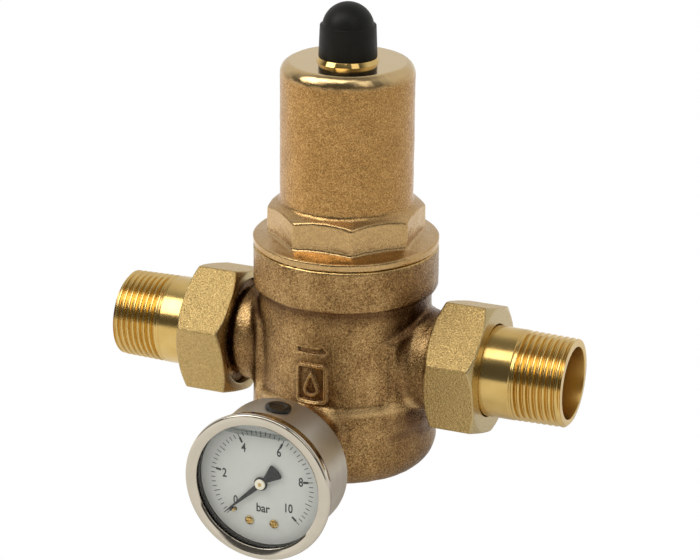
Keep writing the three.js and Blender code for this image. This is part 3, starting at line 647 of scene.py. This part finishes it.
# ---- Second gauge port, on the back ----
rear_plug = joined(
    "rear_plug_turned",
    lathe("rear_plug_round", [
        (0, 32), (5.7, 32), (6.5, 32.8), (6.5, 42), (9.2, 42, 0.2), (9.2, 43.5, 0.5), (0, 43.5)], REAR, 96),
    prism("rear_plug_hexagon", hexagon(13), 43.2, 49, REAR, 0.5))
PORT_SEAL = [(6.9, 41.15, 0.2), (9.2, 41.15, 0.2), (9.2, 41.8, 0.2), (6.9, 41.8, 0.2)]
rear_seal = lathe("rear_seal_ring", PORT_SEAL, REAR)


# ---- Gauge ----
def square(flats):
    half = flats / 2
    return [(half, half), (-half, half), (-half, -half), (half, -half)]


gauge_socket = joined(
    "gauge_socket_turned",
    lathe("socket_stub", [
        (0, 32.2), (5.7, 32.2), (6.5, 33), (6.5, 42), (9.2, 42, 0.2), (9.2, 44, 0.4), (0, 44)], GAUGE, 96),
    prism("socket_square", square(14), 43.7, 56.7, GAUGE, 0.6),
    lathe("socket_neck", [(0, 56), (5.1, 56), (5.1, 59.5), (0, 59.5)], GAUGE, 64),
    prism("socket_base", [(-4, -19.6), (4, -19.6), (4, 5.5), (-4, 5.5)], 58.6, 62, GAUGE, 0.3),
    prism("socket_post", [(-1.6, -19.6), (4, -19.6), (4, -16.6), (-1.6, -16.6)], 61, 69.4, GAUGE, 0.2))
gauge_seal = lathe("gauge_seal_ring", PORT_SEAL, GAUGE)


def on_gauge(x, y):
    return GAUGE @ Matrix.Translation((x, y, 0))


# The filling hole points up out of the case's side.
ON_CASE = turned(GAUGE, -5.7) @ Matrix.Translation((0, 0, 66.3)) @ Matrix.Rotation(-math.pi / 2, 4, "X")
gauge_case = cut_by(
    lathe("gauge_case_drawn", [
        (5.5, 57), (25, 57, 1.6), (25, 76.8), (24, 76.8), (24, 58, 1.0), (5.5, 58)], GAUGE, 192),
    lathe("case_hole", [(0, 20), (3.4, 20), (3.4, 30), (0, 30)], ON_CASE, 48))
fill_plug = lathe("fill_plug_moulded", [
    (0, 22.6), (3.1, 22.6, 0.2), (3.1, 25.1), (4.7, 24.9, 0.1), (4.7, 25.5, 0.35), (3.3, 25.9, 1.0),
    (2.4, 25.6, 0.4), (0, 25.6)], ON_CASE, 72)
bezel = lathe("gauge_bezel_spun", [
    (25.3, 75.2), (26.1, 75.2, 0.3), (26.7, 76.3, 0.8), (27.3, 78.6, 1.5), (27.6, 80.2, 1.2),
    (27.1, 81.1, 0.7), (25.6, 81.35, 1.0), (24.0, 80.9, 0.8), (23.3, 80.5, 0.2), (23.3, 80.2), (25.3, 80.2)],
    GAUGE, 256, 6, 45)
window = lathe("gauge_window_glass", [
    (0, 78.9), (24.9, 78.9, 0.1), (24.9, 79.9, 0.1), (0, 79.9)], GAUGE, 128)
window_gasket = lathe("window_gasket_ring", [
    (23.4, 77.1, 0.3), (25, 77.1), (25, 78.6), (23.4, 78.6, 0.3)], GAUGE, 128)

SCREWS = ((-5.1, -15.1), (4.3, -15.1))
PIN = (-10.7, -11.7)
DIAL_FRONT = 76.0
dial = lathe("gauge_dial_plate", [
    (0, 75.3), (23.6, 75.3), (23.6, DIAL_FRONT, 0.1), (0, DIAL_FRONT)], GAUGE, 128)
for hole_x, hole_y, hole_r in ((0, 0, 1.6), (*PIN, 0.8), (*SCREWS[0], 1.0), (*SCREWS[1], 1.0)):
    dial = cut_by(dial, lathe("dial_hole", [(0, 70), (hole_r, 70), (hole_r, 80), (0, 80)],
                              on_gauge(hole_x, hole_y), 32))


def screw(name, x, y):
    """A round head with a cross slot."""
    head = lathe(name, [
        (0, 74.2), (0.7, 74.2), (0.7, 76.2), (1.6, 76.2, 0.1), (1.6, 76.55, 0.3), (1.0, 76.85, 0.3),
        (0, 76.85)],
        on_gauge(x, y), 48)
    slot = [(-1.2, -0.24), (1.2, -0.24), (1.2, 0.24), (-1.2, 0.24)]
    for degrees in (8, 98):
        head = cut_by(head, prism("slot", slot, 76.35, 78, turned(on_gauge(x, y), degrees)))
    return head


dial_screws = [screw(f"dial_screw_{i + 1}_turned", x, y) for i, (x, y) in enumerate(SCREWS)]
stop_pin = lathe("dial_stop_pin_turned", [(0, 74.2), (0.5, 74.2), (0.5, 77.6, 0.15), (0, 77.6)],
                 on_gauge(*PIN), 32)

PRINT_FROM, PRINT_TO = DIAL_FRONT - 0.01, DIAL_FRONT + 0.03
FULL_SCALE = 10


def scale_angle(value):
    return 225 - 27 * value


def tick(value, inner, outer, width):
    half = width / 2
    return prism("tick", [(inner, -half), (outer, -half), (outer, half), (inner, half)],
                 PRINT_FROM, PRINT_TO, turned(GAUGE, scale_angle(value)))


def lettering(text, x, y, height, width_share):
    """Flat printed characters, centred on a point of the dial."""
    curve = bpy.data.curves.new("lettering", "FONT")
    curve.body, curve.size = text, height / 0.7
    curve.align_x, curve.align_y = "CENTER", "CENTER"
    curve.extrude = (PRINT_TO - PRINT_FROM) / 2
    curve.offset = 0.09
    curve.resolution_u = 6
    shown = new_object("lettering", curve)
    graph = bpy.context.evaluated_depsgraph_get()
    mesh = bpy.data.meshes.new_from_object(shown.evaluated_get(graph))
    bpy.data.objects.remove(shown)
    spot = Matrix.Translation((x, y, (PRINT_FROM + PRINT_TO) / 2))
    narrow = Matrix.Diagonal((width_share, 1, 1, 1))
    mesh.transform(Matrix.Scale(MM, 4) @ turned(GAUGE, -GAUGE_ROLL) @ spot @ narrow)
    return new_object("lettering", mesh)


ticks = [tick(v, 15.9, 17.9, 0.8) for v in range(0, FULL_SCALE + 1, 2)]
for i in range(FULL_SCALE * 5 + 1):
    ticks.append(tick(i / 5, 17.2 if i % 5 == 0 else 18.0, 19.6, 0.27))
numbers = [("0", -10.2, -8.6), ("2", -14.4, 1.1), ("4", -6.95, 12.1), ("6", 6.5, 12.6), ("8", 14.8, 2.7),
           ("10", 10.0, -8.2)]
letters = [lettering(text, x, y, 3.3, 0.74) for text, x, y in numbers]
letters.append(lettering("bar", 0.3, -9.9, 3.2, 0.86))
dial_print = joined("dial_scale_print", *ticks, *letters)


def pointer_outline():
    tail_r, spread, hub = 8.9, math.radians(20.3), 2.5
    round_hub = np.linspace(math.radians(23), math.radians(157), 20)
    arc = [(hub * math.cos(a), hub * math.sin(a)) for a in round_hub]
    fan = [(-tail_r * math.cos(a), tail_r * math.sin(a), 0.7 if abs(a) == spread else 0)
           for a in np.linspace(spread, -spread, 5)]
    back = [(x, -y) for x, y in reversed(arc)]
    return rounded([(19.6, -0.12), (19.6, 0.12), *arc, *fan, *back])


REST_ANGLE = 223.7
POINTER = turned(GAUGE, REST_ANGLE - GAUGE_ROLL)
pointer = prism("gauge_pointer_blade", pointer_outline(), 76.9, 77.3, POINTER, 0.05)
pointer_boss = lathe("pointer_boss_moulded", [
    (0, 77.6), (1.95, 77.6), (1.95, 78.25, 0.3), (0.8, 78.2, 0.1), (0.7, 78.1), (0, 78.1)], GAUGE, 64)
shaft_tip = lathe("pointer_shaft_tip", [
    (0, 77.9), (0.6, 77.9), (0.6, 78.4, 0.2), (0, 78.4)], GAUGE, 32)


# ---- Glycerine: the liquid's surface, seen through the window as a thin lens ----
def liquid_top():
    """A shallow dished strip between the dial and the window, at the top of the filling."""
    level, half, back, front = 18.25, 14.2, DIAL_FRONT + 0.35, 78.6
    across, deep = 72, 12
    points = []
    for side in (0, 0.16):
        for i in range(across + 1):
            x = -half + 2 * half * i / across
            for j in range(deep + 1):
                t = j / deep
                creep = 1.15 * (2 * abs(t - 0.5)) ** 5 + 0.7 * (abs(x) / half) ** 6
                points.append((x, level + creep - side, back + (front - back) * t))
    n = (across + 1) * (deep + 1)
    quads = []
    for i in range(across):
        for j in range(deep):
            a = i * (deep + 1) + j
            quads.append((a, a + 1, a + deep + 2, a + deep + 1))
            quads.append((n + a, n + a + deep + 1, n + a + deep + 2, n + a + 1))
    rim = [i * (deep + 1) for i in range(across)] + [across * (deep + 1) + j for j in range(deep)]
    rim += [i * (deep + 1) + deep for i in range(across, 0, -1)] + [j for j in range(deep, 0, -1)]
    for a, b in zip(rim, rim[1:] + rim[:1]):
        quads.append((a, b, n + b, n + a))
    return shade(weld(from_arrays("glycerine_surface", np.array(points), np.array(quads), GAUGE)), 60)


glycerine = liquid_top()


# ---- Materials ----
RANGE_KEYS = ("Value", "From Min", "From Max", "To Min", "To Max")


def put(tree, value, socket):
    """Links another node's socket or sets a value."""
    if isinstance(value, bpy.types.NodeSocket):
        tree.links.new(value, socket)
    elif socket.type == "RGBA" and isinstance(value, tuple) and len(value) == 3:
        socket.default_value = (*value, 1)
    else:
        socket.default_value = value


def map_range(tree, *items, kind="LINEAR"):
    """Takes a value from one range to another: value, low, high, and what they become."""
    node = tree.nodes.new("ShaderNodeMapRange")
    node.interpolation_type = kind
    for key, item in zip(RANGE_KEYS, items):
        put(tree, item, node.inputs[key])
    return node.outputs["Result"]


class Shader:
    """A principled material and short calls for the nodes that drive it."""

    def __init__(self, name, **sockets):
        self.mat = bpy.data.materials.new(name)
        self.mat.use_nodes = True
        self.tree = self.mat.node_tree
        self.tree.nodes.clear()
        self.out = self.add("ShaderNodeOutputMaterial")
        self.bsdf = self.add("ShaderNodeBsdfPrincipled")
        self.link(self.bsdf.outputs[0], self.out.inputs[0])
        self.where = self.add("ShaderNodeTexCoord").outputs["Object"]
        for key, value in sockets.items():
            self.bsdf.inputs[key.replace("_", " ")].default_value = value

    def add(self, kind):
        return self.tree.nodes.new(kind)

    def link(self, a, b):
        self.tree.links.new(a, b)

    def put(self, value, socket):
        put(self.tree, value, socket)

    def drive(self, key, value):
        self.put(value, self.bsdf.inputs[key])

    def noise(self, size_mm, detail=3.0, roughness=0.55, stretch=None):
        node = self.add("ShaderNodeTexNoise")
        node.inputs["Scale"].default_value = 1 / (size_mm * MM)
        node.inputs["Detail"].default_value = detail
        node.inputs["Roughness"].default_value = roughness
        self.link(self.stretched(stretch), node.inputs["Vector"])
        return node.outputs["Fac"]

    def cells(self, size_mm):
        node = self.add("ShaderNodeTexVoronoi")
        node.inputs["Scale"].default_value = 1 / (size_mm * MM)
        self.link(self.where, node.inputs["Vector"])
        return node.outputs["Distance"]

    def stretched(self, scale):
        if not scale:
            return self.where
        node = self.add("ShaderNodeMapping")
        self.link(self.where, node.inputs["Vector"])
        node.inputs["Scale"].default_value = scale
        return node.outputs["Vector"]

    def layer(self, name):
        node = self.add("ShaderNodeAttribute")
        node.attribute_name = name
        return node.outputs["Fac"]

    def span(self, value, low, high, to_low=0.0, to_high=1.0):
        return map_range(self.tree, value, low, high, to_low, to_high)

    def math(self, operation, a, b=0.0):
        node = self.add("ShaderNodeMath")
        node.operation = operation
        self.put(a, node.inputs[0])
        self.put(b, node.inputs[1])
        return node.outputs[0]

    def weigh(self, a, b, share):
        """The sum of two values, the first counting for this share and the second for the rest."""
        return self.math("ADD", self.math("MULTIPLY", a, share), self.math("MULTIPLY", b, 1 - share))

    def mix(self, share, a, b):
        node = self.add("ShaderNodeMix")
        node.data_type = "RGBA"
        self.put(share, node.inputs[0])
        self.put(a, node.inputs[6])
        self.put(b, node.inputs[7])
        return node.outputs[2]

    def blend(self, share, a, b):
        node = self.add("ShaderNodeMix")
        self.put(share, node.inputs[0])
        self.put(a, node.inputs[2])
        self.put(b, node.inputs[3])
        return node.outputs[0]

    def bump(self, height, depth_mm, strength=1.0, under=None):
        node = self.add("ShaderNodeBump")
        self.put(strength, node.inputs["Strength"])
        node.inputs["Distance"].default_value = depth_mm * MM
        self.link(height, node.inputs["Height"])
        if under:
            self.link(under, node.inputs["Normal"])
        return node.outputs["Normal"]

    def raise_(self, *bumps):
        """Bumps of (height, depth in mm, strength), each over the one before, onto the surface."""
        normal = None
        for height, depth, strength in bumps:
            normal = self.bump(height, depth, strength, normal)
        self.link(normal, self.bsdf.inputs["Normal"])

    def raise_skin(self, machined, *bumps):
        """The same, but not on machined faces."""
        skin = self.math("SUBTRACT", 1.0, machined)
        self.raise_(*((height, depth, self.math("MULTIPLY", skin, share)) for height, depth, share in bumps))


def cast_metal(name, dark, mid, light, grain, machined_color, patchy, depth, polish, shade_strength):
    """Sand-cast gunmetal: gritty skin, painted shade in the hollows, edges lighter for wear and painted
    highlight, and a few machined faces.
    """
    s = Shader(name, Metallic=1.0)
    hollow, edge, machined = s.layer("painted_shade"), s.layer("edge"), s.layer("machined")
    grit, fine, patch = s.noise(grain, 4, 0.65), s.noise(grain * 0.45, 2, 0.5), s.noise(9, 4, 0.6)
    speck = s.span(s.weigh(grit, fine, 0.6), 0.36, 0.64)
    tone = s.weigh(speck, s.span(patch, 0.3, 0.7), 1 - patchy)
    skin = s.mix(s.span(tone, 0.2, 0.5), dark, mid)
    skin = s.mix(s.span(tone, 0.5, 0.95), skin, light)
    # Painted shade in the hollows and wherever the part's painted light is dark, a little uneven
    hollow_shade = s.math("MULTIPLY", s.span(hollow, 0.06, 0.5), s.span(s.noise(5, 3), 0.25, 0.6, 0.7, 1.0))
    # The colour of the painted shade
    painted_shading = tuple(c * f for c, f in zip(dark, (0.6, 0.5, 0.55)))
    skin = s.mix(s.math("MULTIPLY", hollow_shade, shade_strength), skin, painted_shading)
    # Edges lighter: partly wear, partly painted highlight
    skin = s.mix(s.math("MULTIPLY", s.span(edge, 0.3, 0.8), 0.7), skin, light)
    s.drive("Base Color", s.mix(machined, skin, machined_color))
    dull = s.span(speck, 0, 1, 0.5 - polish, 0.28 - polish)
    s.drive("Roughness", s.blend(machined, dull, s.span(patch, 0.3, 0.7, 0.12, 0.17)))
    s.raise_skin(machined, (patch, 0.25, 0.3), (grit, depth, 0.9), (fine, depth * 0.4, 0.8))
    return s.mat


def forged_brass(name):
    """Blasted forging with turned chamfers and end faces."""
    s = Shader(name, Metallic=1.0)
    machined = s.layer("machined")
    grit, fine, pit = s.noise(0.6, 3, 0.6), s.noise(0.3, 2, 0.5), s.cells(0.8)
    speck = s.span(s.weigh(grit, fine, 0.6), 0.35, 0.65)
    skin = s.mix(speck, (0.45, 0.30, 0.11), (0.72, 0.52, 0.22))
    s.drive("Base Color", s.mix(machined, skin, (0.54, 0.42, 0.21)))
    dull = s.span(speck, 0, 1, 0.44, 0.28)
    s.drive("Roughness", s.blend(machined, dull, s.span(s.noise(0.8, 2), 0.3, 0.7, 0.24, 0.34)))
    s.raise_skin(machined, (pit, 0.28, 0.6), (grit, 0.26, 0.9), (fine, 0.10, 0.6))
    return s.mat


def turned_metal(name, light, dark, along, roughness=(0.15, 0.22), groove=0.002):
    """Bright turned metal with fine tool marks running round one axis, and a darker colour painted as shade
    where marked inside.
    """
    s = Shader(name, Metallic=1.0)
    stretch = tuple(1.0 if i == along else 0.02 for i in range(3))
    marks, cloud, inside = s.noise(0.12, 2, 0.5, stretch), s.noise(7, 3, 0.5), s.layer("inside")
    outer = s.mix(s.span(cloud, 0.35, 0.65), light, dark)
    # Painted shade: a darker colour in the bore and the thread roots
    s.drive("Base Color", s.mix(inside, outer, tuple(c * 0.95 for c in dark)))
    outer = s.span(s.weigh(marks, cloud, 0.4), 0.35, 0.65, *roughness)
    s.drive("Roughness", s.blend(inside, outer, 0.3))
    s.raise_((marks, groove, 0.6))
    return s.mat


def steel(name, light, dark, roughness, depth=0.004):
    s = Shader(name, Metallic=1.0)
    cloud, fine = s.noise(6, 4, 0.55), s.noise(0.4, 2, 0.5)
    s.drive("Base Color", s.mix(s.span(cloud, 0.3, 0.7), light, dark))
    s.drive("Roughness", s.span(s.weigh(cloud, fine, 0.7), 0.35, 0.65, *roughness))
    s.raise_((fine, depth, 0.5))
    return s.mat


def moulded(name, light, dark, roughness, depth=0.02, shine=0.5):
    """Plastic, rubber or paint with a faint moulded grain."""
    s = Shader(name, Specular_IOR_Level=shine)
    cloud, fine = s.noise(4, 4, 0.6), s.noise(0.35, 3, 0.6)
    s.drive("Base Color", s.mix(s.span(cloud, 0.3, 0.7), light, dark))
    s.drive("Roughness", s.span(s.weigh(cloud, fine, 0.5), 0.35, 0.65, *roughness))
    s.raise_((fine, depth, 0.6))
    return s.mat


def clear(name, tint, mirrored, dust=0.02):
    """Clear glass: what is behind shows through, and both sides mirror more at a slant."""
    s = Shader(name)
    s.tree.nodes.remove(s.bsdf)
    through, mirror, slant, both = (s.add(kind) for kind in (
        "ShaderNodeBsdfTransparent", "ShaderNodeBsdfGlossy", "ShaderNodeLayerWeight", "ShaderNodeMixShader"))
    through.inputs["Color"].default_value = (*tint, 1)
    slant.inputs["Blend"].default_value = 0.5
    share = s.math("POWER", slant.outputs["Facing"], 5.0)
    s.link(s.span(s.noise(3, 3), 0.3, 0.7, dust, dust * 2), mirror.inputs["Roughness"])
    s.link(s.span(share, 0, 1, mirrored, 0.9), both.inputs[0])
    s.link(through.outputs[0], both.inputs[1])
    s.link(mirror.outputs[0], both.inputs[2])
    s.link(both.outputs[0], s.out.inputs[0])
    return s.mat


BRASS, BRASS_DARK = (0.74, 0.52, 0.19), (0.67, 0.45, 0.15)
LOOKS = {name: make(name, *rest) for make, name, *rest in (
    (cast_metal, "cast_gunmetal_body", (0.17, 0.088, 0.035), (0.40, 0.235, 0.090), (0.72, 0.48, 0.22),
     0.75, (0.66, 0.46, 0.19), 0.28, 0.26, 0.12, 0.85),
    (cast_metal, "cast_gunmetal_bonnet", (0.30, 0.155, 0.050), (0.46, 0.25, 0.082), (0.72, 0.45, 0.18),
     0.6, (0.70, 0.53, 0.28), 0.15, 0.13, 0.12, 0.15),
    (forged_brass, "forged_brass"),
    (turned_metal, "turned_brass", BRASS, BRASS_DARK, 0),
    (turned_metal, "movement_brass", BRASS, BRASS_DARK, 1, (0.25, 0.35)),
    (steel, "stainless_steel", (0.60, 0.59, 0.56), (0.50, 0.49, 0.47), (0.22, 0.34)),
    (steel, "spring_steel", (0.34, 0.35, 0.36), (0.26, 0.27, 0.28), (0.35, 0.5)),
    (moulded, "black_rubber", (0.012, 0.010, 0.008), (0.007, 0.006, 0.005), (0.2, 0.3), 0.006, 0.35),
    (moulded, "black_plastic", (0.006, 0.006, 0.004), (0.004, 0.004, 0.003), (0.40, 0.54), 0.02, 0.22),
    (moulded, "white_plastic", (0.86, 0.80, 0.66), (0.78, 0.72, 0.59), (0.35, 0.5), 0.005),
    (steel, "polished_bezel", (0.66, 0.60, 0.50), (0.62, 0.56, 0.47), (0.05, 0.10), 0.001),
    (steel, "gauge_case_steel", (0.58, 0.53, 0.45), (0.53, 0.48, 0.41), (0.38, 0.46)),
    (clear, "window_glass", (0.985, 0.99, 0.985), 0.02),
    (moulded, "dial_face", (0.585, 0.59, 0.565), (0.56, 0.565, 0.54), (0.45, 0.6), 0.002),
    (moulded, "pointer_paint", (0.022, 0.022, 0.024), (0.015, 0.015, 0.017), (0.4, 0.55), 0.005))}
TURNED_UPRIGHT = turned_metal("turned_brass_upright", BRASS, BRASS_DARK, 2, (0.08, 0.12), 0.001)
TURNED_FACING = turned_metal("turned_brass_facing", BRASS, BRASS_DARK, 1, (0.16, 0.26))
PRINT = moulded("dial_print_ink", (0.02, 0.02, 0.022), (0.028, 0.028, 0.03), (0.5, 0.65), depth=0.001)
LIQUID = clear("glycerine_clear", (0.93, 0.945, 0.94), 0.02, 0.01)

SLOT_OF = {part["node"]: part["material_slot"] for part in frame["record"]["subparts"]}
for node, cad in frame["nodes"].items():
    for held in cad.material_slots:
        held.material = LOOKS[SLOT_OF[node]]


# ---- Which piece stands for which node ----
def stands_for(piece, body, slot, node=None, look=None):
    piece.data.materials.clear()
    piece.data.materials.append(look or LOOKS[slot])
    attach(piece, body)
    if node:
        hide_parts(node)


PIECES = [
    (valve_body, "valve", "cast_gunmetal_body", "valve_body"),
    (bonnet, "valve", "cast_gunmetal_bonnet", "bonnet"),
    (inlet_nut, "inlet_nut", "forged_brass", "inlet_union_nut"),
    (outlet_nut, "outlet_nut", "forged_brass", "outlet_union_nut"),
    (inlet_tail, "inlet_tail", "turned_brass", "inlet_tailpiece"),
    (outlet_tail, "outlet_tail", "turned_brass", "outlet_tailpiece"),
    (inlet_gasket, "inlet_tail", "black_rubber", "inlet_union_gasket"),
    (outlet_gasket, "outlet_tail", "black_rubber", "outlet_union_gasket"),
    (bush, "valve", "turned_brass", "spindle_bush", TURNED_UPRIGHT),
    (cap, "cap", "black_plastic", "protective_cap"),
    (spindle, "spindle", "stainless_steel", "adjusting_spindle"),
    (lock_nut, "lock_nut", "stainless_steel", "lock_nut"),
    (rear_plug, "valve", "turned_brass", "rear_port_plug", TURNED_FACING),
    (rear_seal, "valve", "black_rubber", "rear_port_seal"),
    (gauge_socket, "valve", "turned_brass", "gauge_socket", TURNED_FACING),
    (gauge_seal, "valve", "black_rubber", "gauge_seal"),
    (gauge_case, "valve", "gauge_case_steel", "gauge_case"),
    (fill_plug, "valve", "black_rubber", "gauge_fill_plug"),
    (bezel, "valve", "polished_bezel", "gauge_bezel"),
    (window, "valve", "window_glass", "gauge_window"),
    (window_gasket, "valve", "black_rubber", "window_gasket"),
    (dial, "valve", "dial_face", "gauge_dial"),
    (dial_print, "valve", "pointer_paint", None, PRINT),
    (glycerine, "valve", "window_glass", None, LIQUID),
    (dial_screws[0], "valve", "movement_brass", "dial_screw_1"),
    (dial_screws[1], "valve", "movement_brass", "dial_screw_2"),
    (stop_pin, "valve", "movement_brass", "dial_stop_pin"),
    (pointer, "pointer", "pointer_paint", "gauge_pointer"),
    (pointer_boss, "pointer", "white_plastic", "pointer_boss"),
    (shaft_tip, "pointer", "movement_brass"),
]
for row in PIECES:
    stands_for(*row)


# ---- Camera ----
def aim_camera():
    turn, lift, roll = (math.radians(v) for v in (22.132, 20.446, 0.591))
    back = Vector((math.sin(turn) * math.cos(lift), -math.cos(turn) * math.cos(lift), math.sin(lift)))
    right = Vector((math.cos(turn), math.sin(turn), 0))
    up = back.cross(right)
    level = math.cos(roll) * right + math.sin(roll) * up
    upward = -math.sin(roll) * right + math.cos(roll) * up
    data = bpy.data.cameras.new("camera")
    data.sensor_width, data.lens = 36, 129.58
    data.shift_x, data.shift_y = -0.00218, -0.00134
    data.clip_start, data.clip_end = 0.05, 50
    camera = new_object("camera", data)
    distance = 938.3
    middle = Vector((0, 0, PIPE_Z + FOOT + 0.09)) + 2.366 * level + 24.910 * upward
    camera.matrix_world = axes(level, upward, back, (middle + distance * back) * MM)
    bpy.context.scene.camera = camera


aim_camera()


# ---- Floor, light and surroundings ----
def seen_as(tree, direct, otherwise):
    """Mixes two shaders: one for what the camera sees straight on, one for all other light."""
    path, both = tree.nodes.new("ShaderNodeLightPath"), tree.nodes.new("ShaderNodeMixShader")
    tree.links.new(path.outputs["Is Camera Ray"], both.inputs[0])
    tree.links.new(otherwise, both.inputs[1])
    tree.links.new(direct, both.inputs[2])
    return both.outputs[0]


def make_floor():
    """Pale paper with a glow towards the back and the left; plain white to the camera."""
    mesh = bpy.data.meshes.new("floor")
    size, height = 6.0, -0.02
    corners = [(-size, -size, height), (size, -size, height), (size, size, height), (-size, size, height)]
    mesh.from_pydata(corners, [], [(0, 1, 2, 3)])
    floor = new_object("floor", mesh)
    mat = bpy.data.materials.new("floor")
    mat.use_nodes = True
    tree = mat.node_tree
    tree.nodes.clear()
    out = tree.nodes.new("ShaderNodeOutputMaterial")
    paper, glow, plain, sum_ = (tree.nodes.new(kind) for kind in (
        "ShaderNodeBsdfDiffuse", "ShaderNodeEmission", "ShaderNodeEmission", "ShaderNodeAddShader"))
    paper.inputs[0].default_value = (0.67, 0.67, 0.66, 1)
    backwards = tree.nodes.new("ShaderNodeVectorMath")
    backwards.operation = "DOT_PRODUCT"
    backwards.inputs[1].default_value = (-0.8, 1, 0)
    tree.links.new(tree.nodes.new("ShaderNodeTexCoord").outputs["Object"], backwards.inputs[0])
    level = map_range(tree, backwards.outputs["Value"], -0.05, 0.35, FLOOR_FRONT, FLOOR_BACK)
    tree.links.new(level, glow.inputs[1])
    tree.links.new(paper.outputs[0], sum_.inputs[0])
    tree.links.new(glow.outputs[0], sum_.inputs[1])
    tree.links.new(seen_as(tree, plain.outputs[0], sum_.outputs[0]), out.inputs[0])
    mesh.materials.append(mat)


def make_world():
    """White to the camera; to the object a studio, pale behind and dark in front."""
    world = bpy.data.worlds.new("studio")
    bpy.context.scene.world = world
    world.use_nodes = True
    tree = world.node_tree
    tree.nodes.clear()
    add = tree.nodes.new

    way = add("ShaderNodeSeparateXYZ")
    tree.links.new(add("ShaderNodeTexCoord").outputs["Generated"], way.inputs[0])
    front = map_range(tree, way.outputs["Z"], 0.55, 0.75, ROOM_DARK, ROOM_TOP, kind="SMOOTHSTEP")
    behind = map_range(tree, way.outputs["Z"], 0.75, 1.0, ROOM_BACK, ROOM_TOP, kind="SMOOTHSTEP")
    level = map_range(tree, way.outputs["Y"], -0.25, 0.35, front, behind, kind="SMOOTHSTEP")
    room, white, out = add("ShaderNodeBackground"), add("ShaderNodeBackground"), add("ShaderNodeOutputWorld")
    room.inputs[0].default_value = (1.0, 0.985, 0.955, 1)
    path, fill = add("ShaderNodeLightPath"), add("ShaderNodeMix")
    tree.links.new(path.outputs["Is Diffuse Ray"], fill.inputs[0])
    tree.links.new(level, fill.inputs[2])
    fill.inputs[3].default_value = ROOM_FILL
    tree.links.new(fill.outputs[0], room.inputs[1])
    tree.links.new(seen_as(tree, white.outputs[0], room.outputs[0]), out.inputs[0])
    white.inputs[0].default_value = (1, 1, 1, 1)


def softbox(name, azimuth, elevation, distance, width, height, radiance):
    """An area light aimed at the valve. Azimuth 0 is the front and 90 the outlet's side."""
    a, e = math.radians(azimuth), math.radians(elevation)
    back = Vector((math.sin(a) * math.cos(e), -math.cos(a) * math.cos(e), math.sin(e)))
    data = bpy.data.lights.new(name, "AREA")
    data.shape, data.size, data.size_y = "RECTANGLE", width, height
    data.energy = radiance * math.pi * width * height
    data.color = (1.0, 0.985, 0.95)
    light = new_object(name, data)
    light.location = Vector((0, 0, 0.06)) + back * distance
    light.rotation_mode = "QUATERNION"
    light.rotation_quaternion = (-back).to_track_quat("-Z", "Y")
    light.visible_camera = False


FLOOR_FRONT, FLOOR_BACK = 0.04, 0.30
ROOM_DARK, ROOM_TOP, ROOM_BACK, ROOM_FILL = 0.09, 0.21, 0.76, 0.81
make_floor()
make_world()
softbox("softbox_left", -52, 42, 1.3, 0.65, 0.75, 4.0)
softbox("softbox_right", 54, 43, 1.3, 0.5, 1.0, 1.2)
softbox("softbox_top", -10, 63, 1.3, 0.8, 0.55, 2.4)
bpy.context.scene.view_settings.view_transform = "Standard"
